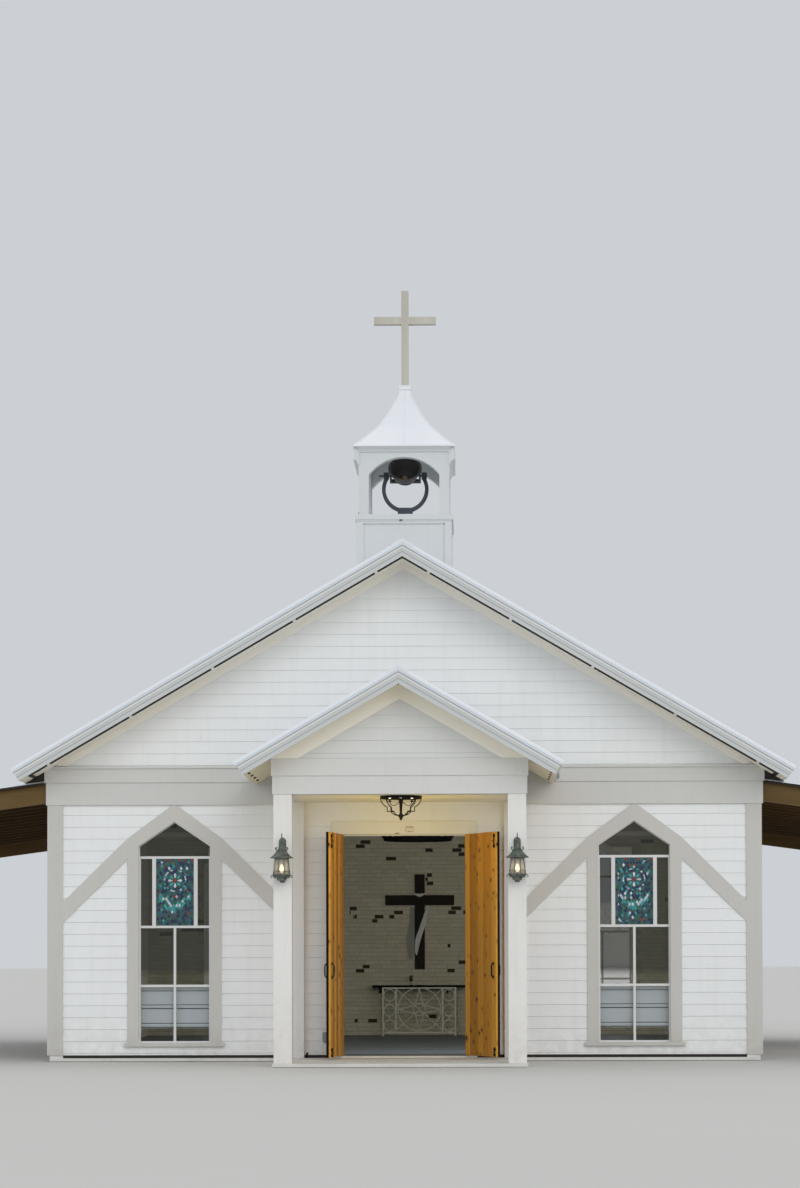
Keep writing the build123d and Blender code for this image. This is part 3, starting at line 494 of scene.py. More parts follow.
M["brick"] = brick_material()
M["mortar"] = mortar_material()
M["plaster"] = plaster("inner_plaster", (0.50, 0.49, 0.45))
M["glass"] = glass_material()
M["glow"] = glow("lamp_glow", (1.0, 0.70, 0.38), 4.0, (0.9, 0.8, 0.6))
M["frost"] = lantern_glass()
M["cloth"] = cloth_material()
M["lead"] = metal("lead_cames", (0.030, 0.032, 0.034), (0.07, 0.07, 0.075), 0.5, 0.3, 20.0, 0.5, 0.3, 0.5)
M["vent"] = metal("vent_strip_black", (0.020, 0.017, 0.014), (0.04, 0.035, 0.03), 0.7, 0.0, 8.0, 0.3, 0.2, 0.4)
M["plastic"] = metal("box_plastic", (0.66, 0.60, 0.54), (0.60, 0.55, 0.49), 0.4, 0.0, 8.0, 0.4, 0.05, 0.3)
M["beige"] = metal("box_shadow_line_and_spots", (0.26, 0.20, 0.11), (0.20, 0.16, 0.09), 0.5, 0.0, 8.0, 0.4, 0.05, 0.3)
M["greybox"] = metal("outlet_grey", (0.30, 0.32, 0.34), (0.22, 0.23, 0.24), 0.5, 0.0, 8.0, 0.4, 0.05, 0.3)


M["greyline"] = metal("shadow_line_grey", (0.30, 0.31, 0.31), (0.22, 0.23, 0.23), 0.6, 0.0, 6.0, 0.3, 0.1, 0.4)
M["ledgeline"] = metal("ledge_line_paint", (0.11, 0.115, 0.12), (0.08, 0.085, 0.09), 0.6, 0.0, 6.0, 0.3, 0.1, 0.4)
M["strip"] = metal("edge_strip_black", (0.006, 0.006, 0.006), (0.012, 0.012, 0.012), 0.7, 0.0, 5.0, 0.12, 0.05, 0.5)
M["groove"] = metal("plank_groove_dark", (0.050, 0.022, 0.006), (0.025, 0.012, 0.004), 0.8, 0.0, 9.0, 0.2, 0.1, 0.5)
M["glow2"] = glow("lamp_glow_soft", (1.0, 0.86, 0.68), 1.2, (0.9, 0.86, 0.78))
M["dark2"] = timber("dark_table_timber", (0.010, 0.007, 0.006), (0.020, 0.013, 0.010), (0.034, 0.022, 0.016), "X", 1.0, 0.2, 3.0, 0.06,
                    (0.005, 0.003, 0.002), 0.45, 0.1, 0.3, 12.0, 0.2)
M["sillmetal"] = metal("sill_metal", (0.33, 0.33, 0.33), (0.20, 0.20, 0.20), 0.4, 0.6, 9.0, 0.5, 0.1, 0.5)
M["g_navy"] = stained("glass_navy", (0.012, 0.030, 0.085), (0.020, 0.060, 0.120))
M["g_teal"] = stained("glass_teal", (0.020, 0.130, 0.150), (0.030, 0.200, 0.210))
M["g_turq"] = stained("glass_turquoise", (0.040, 0.330, 0.340), (0.080, 0.450, 0.430))
M["g_green"] = stained("glass_green", (0.030, 0.110, 0.060), (0.060, 0.190, 0.090))
M["g_white"] = stained("glass_opal", (0.52, 0.60, 0.72), (0.70, 0.78, 0.84))
M["g_red"] = stained("glass_red", (0.230, 0.035, 0.022), (0.380, 0.080, 0.040))
M["g_slate"] = stained("glass_slate", (0.050, 0.075, 0.100), (0.090, 0.120, 0.150))


def assign(material, *names):
    for nm in names:
        ob = NODES[nm]
        if not ob.data.materials:
            ob.data.materials.append(material)
        for i in range(len(ob.material_slots)):
            ob.material_slots[i].material = material


assign(M["wall"], "front_wall_left", "front_wall_right", "front_gable", "back_wall", "side_walls")
assign(M["porchwall"], "porch_gable")
assign(M["trim"], "porch_pilasters")
assign(M["soffit"], "roof_boards")
assign(M["porchsoffit"], "porch_roof_boards")
assign(M["header"], "porch_beams")
assign(M["casing"], "corner_boards", "window_trims")
assign(M["doorcase"], "door_frame")
assign(M["frieze"], "front_frieze")
assign(M["rake"], "rake_boards")
assign(M["sash"], "window_frames")
assign(M["inboard"], "window_inner_boards")
assign(M["plaster"], "ceiling")
assign(M["post"], "porch_posts")
assign(M["cream"], "porch_ceiling")
assign(M["cote"], "bell_cote_base", "bell_cote_sill_cap", "bell_cote_arcade")
assign(M["roof"], "metal_roofing", "porch_roofing", "ridge_caps", "bell_cote_roof", "lean_to_roofs")
assign(M["concrete"], "foundation_slab", "porch_slab")
assign(M["glass"], "window_glass")
assign(M["iron"], "left_door_ironwork", "right_door_ironwork")
assign(M["ironmatte"], "chandelier")
assign(M["bell"], "bell", "bell_yoke")
assign(M["hub"], "bell_clapper")
assign(M["cradle"], "bell_cradle")
assign(M["pine"], "lean_to_beams")
assign(M["pineR"], "lean_to_rafters")
assign(M["pineZ"], "lean_to_posts")
assign(M["dark"], "altar_table", "wall_cross")
assign(M["whiteiron"], "altar_panel")
assign(M["brass"], "goblet")
assign(M["crosswood"], "roof_cross")


# ------------------------------------------------------------------ mesh building, mm in, metres out
class Mesh:
    def __init__(self):
        self.v, self.f, self.m, self.r, self.b, self.s = [], [], [], [], [], []

    def add(self, vs, fs, mi=0, r=None, bare=0.0, smooth=False):
        k = len(self.v)
        self.v += [(x * 0.001, y * 0.001, z * 0.001) for x, y, z in vs]
        r = rnd.random() if r is None else r
        for f in fs:
            self.f.append([k + i for i in f])
            self.m.append(mi)
            self.r.append(r)
            self.b.append(bare)
            self.s.append(smooth)

    def hexa(self, lo4, hi4, mi=0, r=None, bare=0.0):
        """Two matching four-sided rings, the first seen clockwise from outside."""
        self.add(list(lo4) + list(hi4),
                 [(0, 3, 2, 1), (4, 5, 6, 7), (0, 1, 5, 4), (1, 2, 6, 5), (2, 3, 7, 6), (3, 0, 4, 7)], mi, r, bare)

    def box(self, x0, x1, y0, y1, z0, z1, mi=0, r=None, bare=0.0):
        self.hexa([(x0, y0, z0), (x1, y0, z0), (x1, y1, z0), (x0, y1, z0)],
                  [(x0, y0, z1), (x1, y0, z1), (x1, y1, z1), (x0, y1, z1)], mi, r, bare)

    def cbox(self, x0, x1, y0, y1, z0, z1, c, mi=0, r=None, bare=0.0):
        """A box with its edges taken off by c."""
        c = min(c, (x1 - x0) / 2.2, (y1 - y0) / 2.2, (z1 - z0) / 2.2)
        vs, idx = [], {}
        for i, (sx, x) in enumerate(((-1, x0), (1, x1))):
            for j, (sy, y) in enumerate(((-1, y0), (1, y1))):
                for k, (sz, z) in enumerate(((-1, z0), (1, z1))):
                    for a in range(3):
                        p = [x, y, z]
                        for ax, sg in enumerate((sx, sy, sz)):
                            if ax != a:
                                p[ax] -= sg * c
                        idx[(i, j, k, a)] = len(vs)
                        vs.append(tuple(p))
        fs = []
        for a in range(3):
            for side in (0, 1):
                ring = []
                for u, w in ((0, 0), (1, 0), (1, 1), (0, 1)):
                    key = [0, 0, 0]
                    key[a] = side
                    key[(a + 1) % 3] = u
                    key[(a + 2) % 3] = w
                    ring.append(idx[(*key, a)])
                fs.append(ring if side else ring[::-1])
        for a in range(3):
            b1, b2 = (a + 1) % 3, (a + 2) % 3
            for u in (0, 1):
                for w in (0, 1):
                    ring = []
                    for end, ax in ((0, b1), (1, b1), (1, b2), (0, b2)):
                        key = [0, 0, 0]
                        key[a] = end
                        key[b1] = u
                        key[b2] = w
                        ring.append(idx[(*key, ax)])
                    fs.append(ring if (u != w) else ring[::-1])
        for i in (0, 1):
            for j in (0, 1):
                for k in (0, 1):
                    ring = [idx[(i, j, k, 0)], idx[(i, j, k, 1)], idx[(i, j, k, 2)]]
                    fs.append(ring if (i + j + k) % 2 else ring[::-1])
        self.add(vs, fs, mi, r, bare)

    def prism(self, pts, y0, y1, mi=0, r=None, axis="Y"):
        n = len(pts)
        if axis == "Y":
            a = [(x, y0, z) for x, z in pts]
            b = [(x, y1, z) for x, z in pts]
        elif axis == "X":
            a = [(y0, x, z) for x, z in pts]
            b = [(y1, x, z) for x, z in pts]
        else:
            a = [(x, z, y0) for x, z in pts]
            b = [(x, z, y1) for x, z in pts]
        fs = [list(range(n)), list(range(2 * n - 1, n - 1, -1))]
        fs += [(i, n + i, n + (i + 1) % n, (i + 1) % n) for i in range(n)]
        self.add(a + b, fs, mi, r)

    def lathe(self, prof, cx, cy, seg=24, mi=0, r=None, closed=False, smooth=True, cz=0.0):
        """A profile of (radius, z) turned about a standing axis. Ends on the axis are closed."""
        vs, rings = [], []
        for rad, z in prof:
            if rad < 1e-6:
                rings.append([len(vs)])
                vs.append((cx, cy, z + cz))
            else:
                rings.append(list(range(len(vs), len(vs) + seg)))
                vs += [(cx + rad * math.cos(2 * math.pi * i / seg), cy + rad * math.sin(2 * math.pi * i / seg), z + cz)
                       for i in range(seg)]
        fs = []
        pairs = list(zip(rings, rings[1:]))
        if closed:
            pairs.append((rings[-1], rings[0]))
        for a, b in pairs:
            for i in range(seg):
                j = (i + 1) % seg
                if len(a) == 1 and len(b) == 1:
                    continue
                if len(a) == 1:
                    fs.append((a[0], b[j], b[i]))
                elif len(b) == 1:
                    fs.append((a[i], a[j], b[0]))
                else:
                    fs.append((a[i], a[j], b[j], b[i]))
        self.add(vs, fs, mi, r, 0.0, smooth)

    def tube(self, pts, rad, seg=8, mi=0, r=None, closed=False, smooth=True, flat=1.0):
        """A round bar along points; rad is one number or one for each point."""
        P = [Vector(p) for p in pts]
        n = len(P)
        rads = rad if isinstance(rad, (list, tuple)) else [rad] * n
        vs, rings = [], []
        prev = None
        for i, p in enumerate(P):
            if closed:
                t = P[(i + 1) % n] - P[i - 1]
            else:
                t = P[min(i + 1, n - 1)] - P[max(i - 1, 0)]
            t.normalize()
            if prev is None:
                a = Vector((0, 0, 1)) if abs(t.z) < 0.9 else Vector((1, 0, 0))
                u = t.cross(a).normalized()
            else:
                u = (prev - t * prev.dot(t)).normalized()
            prev = u
            w = t.cross(u)
            rings.append(list(range(len(vs), len(vs) + seg)))
            for k in range(seg):
                an = 2 * math.pi * k / seg
                q = p + u * (math.cos(an) * rads[i]) + w * (math.sin(an) * rads[i] * flat)
                vs.append((q.x, q.y, q.z))
        fs = []
        pairs = list(zip(rings, rings[1:]))
        if closed:
            pairs.append((rings[-1], rings[0]))
        for a, b in pairs:
            for k in range(seg):
                fs.append((a[k], a[(k + 1) % seg], b[(k + 1) % seg], b[k]))
        if not closed:
            fs.append(rings[0][::-1])
            fs.append(rings[-1])
        self.add(vs, fs, mi, r, 0.0, smooth)

    def make(self, name, mats, body="building", matrix=None):
        me = bpy.data.meshes.new(name)
        me.from_pydata(self.v, [], self.f)
        for mt in mats:
            me.materials.append(mt)
        me.polygons.foreach_set("material_index", self.m)
        me.polygons.foreach_set("use_smooth", self.s)
        a = me.attributes.new("rnd", "FLOAT", "FACE")
        a.data.foreach_set("value", self.r)
        if any(self.b):
            a = me.attributes.new("bare", "FLOAT", "FACE")
            a.data.foreach_set("value", self.b)
        me.update()
        bm = bmesh.new()
        bm.from_mesh(me)
        bmesh.ops.recalc_face_normals(bm, faces=bm.faces)
        bm.to_mesh(me)
        bm.free()
        ob = bpy.data.objects.new(name, me)
        bpy.context.scene.collection.objects.link(ob)
        if matrix is not None:
            ob.matrix_world = matrix
        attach(ob, body)
        return ob


# ------------------------------------------------------------------ lap boards
def lap(mesh, place, course0, z_first, z_last, extent, blocks, joints=True, tb=14.0, tt=3.0, edge=2.0):
    """Lap boards on one wall. place(u, d, z) gives a point at distance d proud of the wall; extent(z) gives the
    wall's two ends at a height; blocks are (z0, z1, half-width function, middle) gaps."""
    k = math.floor((z_first - course0) / COURSE)
    a = course0 + k * COURSE
    while a < z_last - 1:
        b = a + COURSE
        za, zb = max(a, z_first), min(b, z_last)
        cuts = {za, zb}
        for z0, z1, _, _ in blocks:
            for z in (z0, z1):
                if za < z < zb:
                    cuts.add(z)
        levels = sorted(cuts)
        r = rnd.random()
        shift = rnd.uniform(0, 3600)
        for lo, hi in zip(levels, levels[1:]):
            if hi - lo < 1:
                continue
            gaps = []
            for z0, z1, w, mid in blocks:
                if lo >= z0 - 0.5 and hi <= z1 + 0.5:
                    gaps.append((mid - w(lo), mid + w(lo)))
            gaps.sort()
            e0, e1 = extent(lo), extent(hi)
            segs, cur = [], (e0[0], e1[0])
            for g0, g1 in gaps:
                if g0 > cur[0]:
                    segs.append((cur[0], cur[1], g0, g0))
                cur = (g1, g1)
            if e0[1] > cur[0]:
                segs.append((cur[0], cur[1], e0[1], e1[1]))
            ta = tb + (tt - tb) * (lo - a) / COURSE
            tz = tb + (tt - tb) * (hi - a) / COURSE
            for s0, s1, s2, s3 in segs:
                stops = [(s0, s1)]
                if joints:
                    x = math.ceil((s0 - shift) / 3658.0) * 3658.0 + shift
                    while x < s2 - 300:
                        if x > s0 + 300:
                            stops.append((x, x))
                        x += 3658.0
                stops.append((s2, s3))
                for i in range(len(stops) - 1):
                    l0, l1 = stops[i]
                    h0, h1 = stops[i + 1]
                    if i > 0:
                        l0, l1 = l0 + 0.9, l1 + 0.9
                    if i < len(stops) - 2:
                        h0, h1 = h0 - 0.9, h1 - 0.9
                    rr = (r + 0.37 * i) % 1.0
                    if lo <= a + 0.5:
                        # eased lower edge
                        c = edge
                        vs = [place(l0, -3, lo), place(h0, -3, lo), place(h0, ta - c, lo), place(h0, ta, lo + c),
                              place(h1, tz, hi), place(h1, -3, hi), place(l1, -3, hi), place(l1, tz, hi),
                              place(l0, ta, lo + c), place(l0, ta - c, lo)]
                        fs = [(0, 1, 2, 9), (9, 2, 3, 8), (8, 3, 4, 7), (7, 4, 5, 6), (6, 5, 1, 0),
                              (1, 5, 4, 3, 2), (0, 9, 8, 7, 6)]
                        mesh.add(vs, fs, 0, rr)
                    else:
                        mesh.hexa([place(l0, -3, lo), place(h0, -3, lo), place(h0, ta, lo), place(l0, ta, lo)],
                                  [place(l1, -3, hi), place(h1, -3, hi), place(h1, tz, hi), place(l1, tz, hi)], 0, rr)
        a = b


def win_gap(mid):
    """The window opening, its ends hidden under the casing."""
    out = [(205.0, 2755.0, lambda z: 480.0, mid)]
    z = 2755.0
    while z < 3064:
        nz = min(z + 30, 3064)
        out.append((z, nz, (lambda zz: (lambda q: 457.0 * (3064 - zz) / 309.0 + 12))(z), mid))
        z = nz
    return out


def front(u, d, z):
    return (u, -HALF_L - d, z)


def back(u, d, z):
    return (-u, HALF_L + d, z)


def right_side(u, d, z):
    return (HALF_W + d, u, z)


def left_side(u, d, z):
    return (-HALF_W - d, -u, z)


door_gap = [(0.0, 3020.0, lambda z: 880.0, 0.0)]
ms = Mesh()
lap(ms, front, 104.0, 78.0, 3560.0, lambda z: (-4400.0, 4400.0), win_gap(-WIN_X) + win_gap(WIN_X) + door_gap)
gable = lambda z: (-min(4540.0, (SOFFIT_A - z) / PITCH - 4), min(4540.0, (SOFFIT_A - z) / PITCH - 4))
lap(ms, front, 3940.0, 3760.0, SOFFIT_A - 24, gable, [], True)
ms.make("front_lap_boards", [M["wall"]])
ms = Mesh()
lap(ms, back, 104.0, 78.0, SOFFIT_A - 24, lambda z: (-min(4400.0, (SOFFIT_A - z) / PITCH - 4) if z < 3700 else -min(4540.0, (SOFFIT_A - z) / PITCH - 4),
                                                      min(4400.0, (SOFFIT_A - z) / PITCH - 4) if z < 3700 else min(4540.0, (SOFFIT_A - z) / PITCH - 4)),
    win_gap(-WIN_X) + win_gap(WIN_X))
ms.make("back_lap_boards", [M["wall"]])
ms = Mesh()
lap(ms, right_side, 104.0, 78.0, 3720.0, lambda z: (-4400.0, 4400.0) if z < 3280 else (-4570.0, 4570.0), win_gap(-SIDE_WIN_Y) + win_gap(SIDE_WIN_Y))
lap(ms, left_side, 104.0, 78.0, 3720.0, lambda z: (-4400.0, 4400.0) if z < 3280 else (-4570.0, 4570.0), win_gap(-SIDE_WIN_Y) + win_gap(SIDE_WIN_Y))
ms.make("side_lap_boards", [M["wall"]])
ms = Mesh()
lap(ms, lambda u, d, z: (u, -6457.0 - d, z), 3798.0, 3738.0, P_SOFFIT - 30,
    lambda z: (-(P_SOFFIT - z) / PITCH + 6, (P_SOFFIT - z) / PITCH - 6), [], False, 12.0, 3.0)
ms.make("porch_gable_lap_boards", [M["porchwall"]])

# ------------------------------------------------------------------ small shapes used below
def clip(poly, a, b, c):
    """The part of a convex outline where a*x + b*y <= c."""
    out = []
    for i, p in enumerate(poly):
        q = poly[(i + 1) % len(poly)]
        dp, dq = a * p[0] + b * p[1] - c, a * q[0] + b * q[1] - c
        if dp <= 0:
            out.append(p)
        if (dp < 0 < dq) or (dq < 0 < dp):
            t = dp / (dp - dq)
            out.append((p[0] + (q[0] - p[0]) * t, p[1] + (q[1] - p[1]) * t))
    return out


def clip_box(poly, x0, x1, z0, z1):
    for h in ((-1, 0, -x0), (1, 0, x1), (0, -1, -z0), (0, 1, z1)):
        if len(poly) < 3:
            return []
        poly = clip(poly, *h)
    return poly


def inset(poly, d):
    """A convex outline drawn in by d, or None where nothing is left."""
    area = sum(p[0] * q[1] - q[0] * p[1] for p, q in zip(poly, poly[1:] + poly[:1]))
    if area < 0:
        poly = poly[::-1]
    res = poly
    for p, q in zip(poly, poly[1:] + poly[:1]):
        ex, ez = q[0] - p[0], q[1] - p[1]
        ln = math.hypot(ex, ez)
        if ln < 1e-6:
            continue
        nx, nz = ez / ln, -ex / ln
        res = clip(res, nx, nz, nx * p[0] + nz * p[1] - d)
        if len(res) < 3:
            return None
    return res


def band(mesh, pa, x0, x1, d0, d1, y0, y1, mi=0, r=None):
    """A strip along both slopes of a gable roof: pa is the height of the boarding's top over x = 0, d0 and d1 the
    distances square to the slope (up is plus), x0 to x1 the distance from the middle at the boarding's top."""
    for s in (-1, 1):
        def pt(t, d):
            x = t + d * S
            if t <= 0.01:
                x = 0.0
                return (0.0, pa + d / C)
            return (s * x, pa - PITCH * t + d * C)
        pts = [pt(x0, d1), pt(x1, d1), pt(x1, d0), pt(x0, d0)]
        mesh.prism(pts, y0, y1, mi, r)


# ------------------------------------------------------------------ main roof: ribs, rake edge, vent strip
def ribs(mesh, pa, t0, t1, ys, hole=None, h=19.0, wb=17.0, wt=8.0):
    for s in (-1, 1):
        for y in ys:
            a = t0
            if hole and hole[0] < y < hole[1]:
                a = hole[2]
            lo, hi = [], []
            for t, ring in ((a, lo), (t1, hi)):
                for dy, d in ((-wb, METAL_T - 1), (wb, METAL_T - 1), (wt, METAL_T + h), (-wt, METAL_T + h)):
                    ring.append((s * (t + d * S), y + dy, pa - PITCH * t + d * C))
            mesh.hexa(lo, hi, 0, 0.3)


ms = Mesh()
ys = [-5150 + 229 * i for i in range(46) if -5150 + 229 * i < 5160]
ribs(ms, ROOF_A, 128, ROOF_X + 8, ys, (COTE_Y - COTE_HW - 30, COTE_Y + COTE_HW + 30, COTE_HW + 2))
ribs(ms, PORCH_A, 108, PORCH_X + 8, [-6900 + 229 * i for i in range(11) if -6900 + 229 * i < -4600])
ms.make("roof_ribs", [M["roof"]])

ms = Mesh()
for sgn in (-1, 1):
    yf = sgn * ROOF_Y
    a, b = sorted((yf, yf + sgn * 15.5))
    band(ms, ROOF_A, 0, ROOF_X + 11, -30, METAL_T + 1.5, a, b, 0, 0.4)
    # painted shadow line: the thin grey band under the metal edge
    a, b = sorted((yf, yf + sgn * 9))
    band(ms, ROOF_A, 0, ROOF_X + 4, -38, -30, a, b, 1, 0.4)
    a, b = sorted((yf, yf + sgn * 6))
    band(ms, ROOF_A, 0, ROOF_X + 1, -62, -38, a, b, 2, 0.5)
    # painted shadow line along the rake board
    a, b = sorted((yf, yf + sgn * 1.6))
    band(ms, ROOF_A, 0, ROOF_X - 6, -104, -97, a, b, 1, 0.5)
# porch rake: the same metal edge, with its two grey bands again painted shadow lines
band(ms, PORCH_A, 0, PORCH_X + 11, -30, METAL_T + 1.5, PORCH_FRONT - 15.5, PORCH_FRONT, 0, 0.4)
band(ms, PORCH_A, 0, PORCH_X + 4, -38, -30, PORCH_FRONT - 9, PORCH_FRONT, 1, 0.4)
band(ms, PORCH_A, 0, PORCH_X + 1, -62, -38, PORCH_FRONT - 6, PORCH_FRONT, 2, 0.5)
band(ms, PORCH_A, 0, PORCH_X - 6, -104, -97, PORCH_FRONT - 1.6, PORCH_FRONT, 1, 0.5)
# drip edges along the eaves
for s in (-1, 1):
    def ev(t, d, pa):
        return (s * (t + d * S), pa - PITCH * t + d * C)
    for pa, px, y0, y1 in ((ROOF_A, ROOF_X, -ROOF_Y + 1, ROOF_Y - 1), (PORCH_A, PORCH_X, PORCH_FRONT + 1, -HALF_L - 1)):
        ms.prism([ev(px, 1, pa), ev(px + 6, 1, pa), ev(px + 6, -45, pa), ev(px, -45, pa)], y0, y1, 0, 0.4)
ms.make("rake_metal_edges", [M["edge"], M["greyline"], M["trim"]])

ms = Mesh()
GAPS = [412.0, 1447.0, 2480.0, 3516.0, 4551.0]
for sgn in (-1, 1):
    y0, y1 = sorted((sgn * (ROOF_Y - 4), sgn * (ROOF_Y - 24)))
    stops = [0.0]
    for g in GAPS:
        stops += [g - 18, g + 18]
    stops.append(4800.0)
    for a, b in zip(stops[::2], stops[1::2]):
        band(ms, ROOF_A, a, b, -ROOF_T - 8 - 22, -ROOF_T - 7, y0, y1, 0)
band(ms, PORCH_A, 0.0, 9.0, -155 - 12, -154, PORCH_FRONT + 3, PORCH_FRONT + 20, 0)
# vent slots along the eave soffits
for s in (-1, 1):
    for pa, px, th, y0, y1, ta, tb, ln, step in ((ROOF_A, ROOF_X, ROOF_T, -5120, 5120, 150, 105, 95, 140),
                                                 (PORCH_A, PORCH_X, PORCH_T, -6790, -4700, 62, 36, 150, 430)):
        y = y0
        while y < y1 - ln:
            lo, hi = [], []
            for tt, ring in ((px - ta, lo), (px - tb, hi)):
                for dy, d in ((0, -th - 5), (ln, -th - 5), (ln, -th + 2), (0, -th + 2)):
                    ring.append((s * (tt + d * S), y + dy, pa - PITCH * tt + d * C))
            ms.hexa(lo, hi, 0)
            y += step
ms.make("roof_vent_strips", [M["vent"]])

# ------------------------------------------------------------------ inside: plank floor, brick lining
ms = Mesh()
y = -INNER_Y
while y < INNER_Y - 5:
    w = min(130.0, INNER_Y - y)
    x = -INNER - rnd.uniform(0, 2200)
    while x < INNER:
        e = x + rnd.choice((1830.0, 2440.0, 3050.0, 3660.0))
        a, b = max(x, -INNER), min(e, INNER)
        if b - a > 20:
            ms.cbox(a + 0.8, b - 0.8, y + 1.6, y + w - 1.6, 41.0, 60.0, 2.0)
        x = e
    y += 130.0
fl_ob = ms.make("floor_planks", [M["floor"]])
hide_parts("floor_boards")

BARE = [(-1134, -1016, 2090), (-1134, -1114, 2029), (-1075, -1016, 1967), (-732, -585, 1953), (-497, -409, 1957), (-771, -683, 1888),
        (-418, -271, 2025), (111, 199, 2637), (91, 130, 2565), (111, 219, 2490), (503, 669, 2090), (458, 581, 2022), (699, 738, 2035),
        (454, 493, 1490), (621, 738, 1226), (440, 562, 1091), (-928, -810, 1153), (-1036, -898, 1085), (-1055, -1006, 287),
        (-840, -693, 287), (140, 268, 354), (-663, -614, 830), (-663, -614, 761), (424, 458, 752), (-959, -794, 3168),
        (-1033, -885, 3094), (-546, -381, 2896), (89, 213, 3037), (526, 675, 3032), (617, 724, 3099), (625, 724, 2970)]
WINR = 478.0


def in_window(x0, x1, z0, z1):
    return any(x1 > m - WINR and x0 < m + WINR and z1 > 215 and z0 < 3085 for m in (-WIN_X, WIN_X))


ms = Mesh()
k, z = 0, 60.0
while z < 3640:
    z1 = min(z + 67.0, 3640.0)
    mids = [b for b in BARE if z <= b[2] < z + 67]
    wide = sorted((b0, b1) for b0, b1, _ in mids if b1 - b0 > 70)
    edges = []
    fixed = [(-INNER, -INNER)] + wide + [(INNER, INNER)]
    for (p0, p1), (q0, q1) in zip(fixed, fixed[1:]):
        # even courses of about 205 mm between bricks whose place is known
        span = q0 - p1
        n_b = max(1, round(span / 205.0))
        first = rnd.uniform(0.25, 1.0) * span / n_b if p0 == p1 else span / n_b
        pos, step = p1, first
        while pos < q0 - 20:
            nxt = min(pos + step, q0)
            if q0 - nxt < 45:
                nxt = q0
            edges.append((pos, nxt))
            pos, step = nxt, span / n_b
        if q1 > q0:
            edges.append((q0, q1))
    for e_lo, e_hi in edges:
        a, b = e_lo + (2.5 if e_hi - e_lo > 60 else 0.0), e_hi - (2.5 if e_hi - e_lo > 60 else 0.0)
        mid = (a + b) / 2
        if b - a > 15 and z1 - z > 20 and not in_window(a, b, z, z1):
            # a brick is one washed face, or is split where the wash has come off part of it
            cuts = [(a, b, 0.0)]
            for b0, b1, _ in mids:
                nxt = []
                for c0, c1, v in cuts:
                    l, h = max(c0, b0), min(c1, b1)
                    if h - l < 12:
                        nxt.append((c0, c1, v))
                        continue
                    l = c0 if l - c0 < 12 else l
                    h = c1 if c1 - h < 12 else h
                    if l > c0:
                        nxt.append((c0, l, v))
                    nxt.append((l, h, 1.0))
                    if h < c1:
                        nxt.append((h, c1, v))
                cuts = nxt
            if not (-1250 < mid < 1000) and rnd.random() < 0.045:
                cuts = [(a, b, 1.0)]
            e, f, tone = rnd.uniform(1.5, 3.0), rnd.uniform(-0.8, 0.8), rnd.random()
            yb, yf = INNER_Y - 1.0, INNER_Y - 5.0 + f * 0.4
            for c0, c1, v in cuts:
                e0, e1 = (e if c0 == a else 0.0), (e if c1 == b else 0.0)
                ms.hexa([(c0, yb, z + 4.5), (c1, yb, z + 4.5), (c1, yb, z1 - 4.5), (c0, yb, z1 - 4.5)],
                        [(c0 + e0, yf, z + 4.5 + e), (c1 - e1, yf, z + 4.5 + e), (c1 - e1, yf, z1 - 4.5 - e), (c0 + e0, yf, z1 - 4.5 - e)],
                        0, tone, v)
    z += 67.0
    k += 1
ms.make("back_wall_bricks", [M["brick"]])
ms = Mesh()
edges = [-INNER, -WIN_X - WINR, -WIN_X + WINR, WIN_X - WINR, WIN_X + WINR, INNER]
for i in range(5):
    if i in (1, 3):
        ms.box(edges[i], edges[i + 1], INNER_Y - 2.5, INNER_Y, 60, 215, 0)
        ms.box(edges[i], edges[i + 1], INNER_Y - 2.5, INNER_Y, 3085, 3640, 0)
    else:
        ms.box(edges[i], edges[i + 1], INNER_Y - 2.5, INNER_Y, 60, 3640, 0)
ms.make("back_wall_mortar", [M["mortar"]])
# inner casings round the windows
ms = Mesh()


def casing_set(fn):
    """Four flat boards round the pointed opening, drawn in the wall's own plane and set there by fn(u, depth, z)."""
    outlines = [[(457, 235), (545, 235), (545, 2807), (457, 2755)], [(-457, 235), (-457, 2755), (-545, 2807), (-545, 235)],
                [(457, 2755), (545, 2807), (0, 3176), (0, 3064)], [(-457, 2755), (0, 3064), (0, 3176), (-545, 2807)],
                [(-570, 195), (570, 195), (570, 235), (-570, 235)]]
    for i, o in enumerate(outlines):
        d = 34 if i == 4 else 20
        n = len(o)
        vs = [fn(u, 0, z) for u, z in o] + [fn(u, d, z) for u, z in o]
        fs = [list(range(n)), list(range(2 * n - 1, n - 1, -1))] + [(j, n + j, n + (j + 1) % n, (j + 1) % n) for j in range(n)]
        ms.add(vs, fs, 0)


for m in (-WIN_X, WIN_X):
    casing_set(lambda u, d, z, m=m: (m + u, -INNER_Y + d, z))
    casing_set(lambda u, d, z, m=m: (m + u, INNER_Y - d, z))
for m in (-SIDE_WIN_Y, SIDE_WIN_Y):
    casing_set(lambda u, d, z, m=m: (-INNER + d, m + u, z))
    casing_set(lambda u, d, z, m=m: (INNER - d, m + u, z))
# skirting and cornice
for x0, x1, y0, y1 in ((-INNER, -INNER + 16, -INNER_Y, INNER_Y), (INNER - 16, INNER, -INNER_Y, INNER_Y),
                       (-INNER + 16, -900, -INNER_Y, -INNER_Y + 16), (900, INNER - 16, -INNER_Y, -INNER_Y + 16)):
    ms.cbox(x0, x1, y0, y1, 60, 180, 3)
    ms.cbox(x0, x1, y0, y1, 3560, 3640, 3)
for x0, x1 in ((-INNER + 16, INNER - 16),):
    ms.cbox(x0, x1, INNER_Y - 30, INNER_Y, 3262, 3340, 4)
ms.make("inner_casings", [M["sash"]])

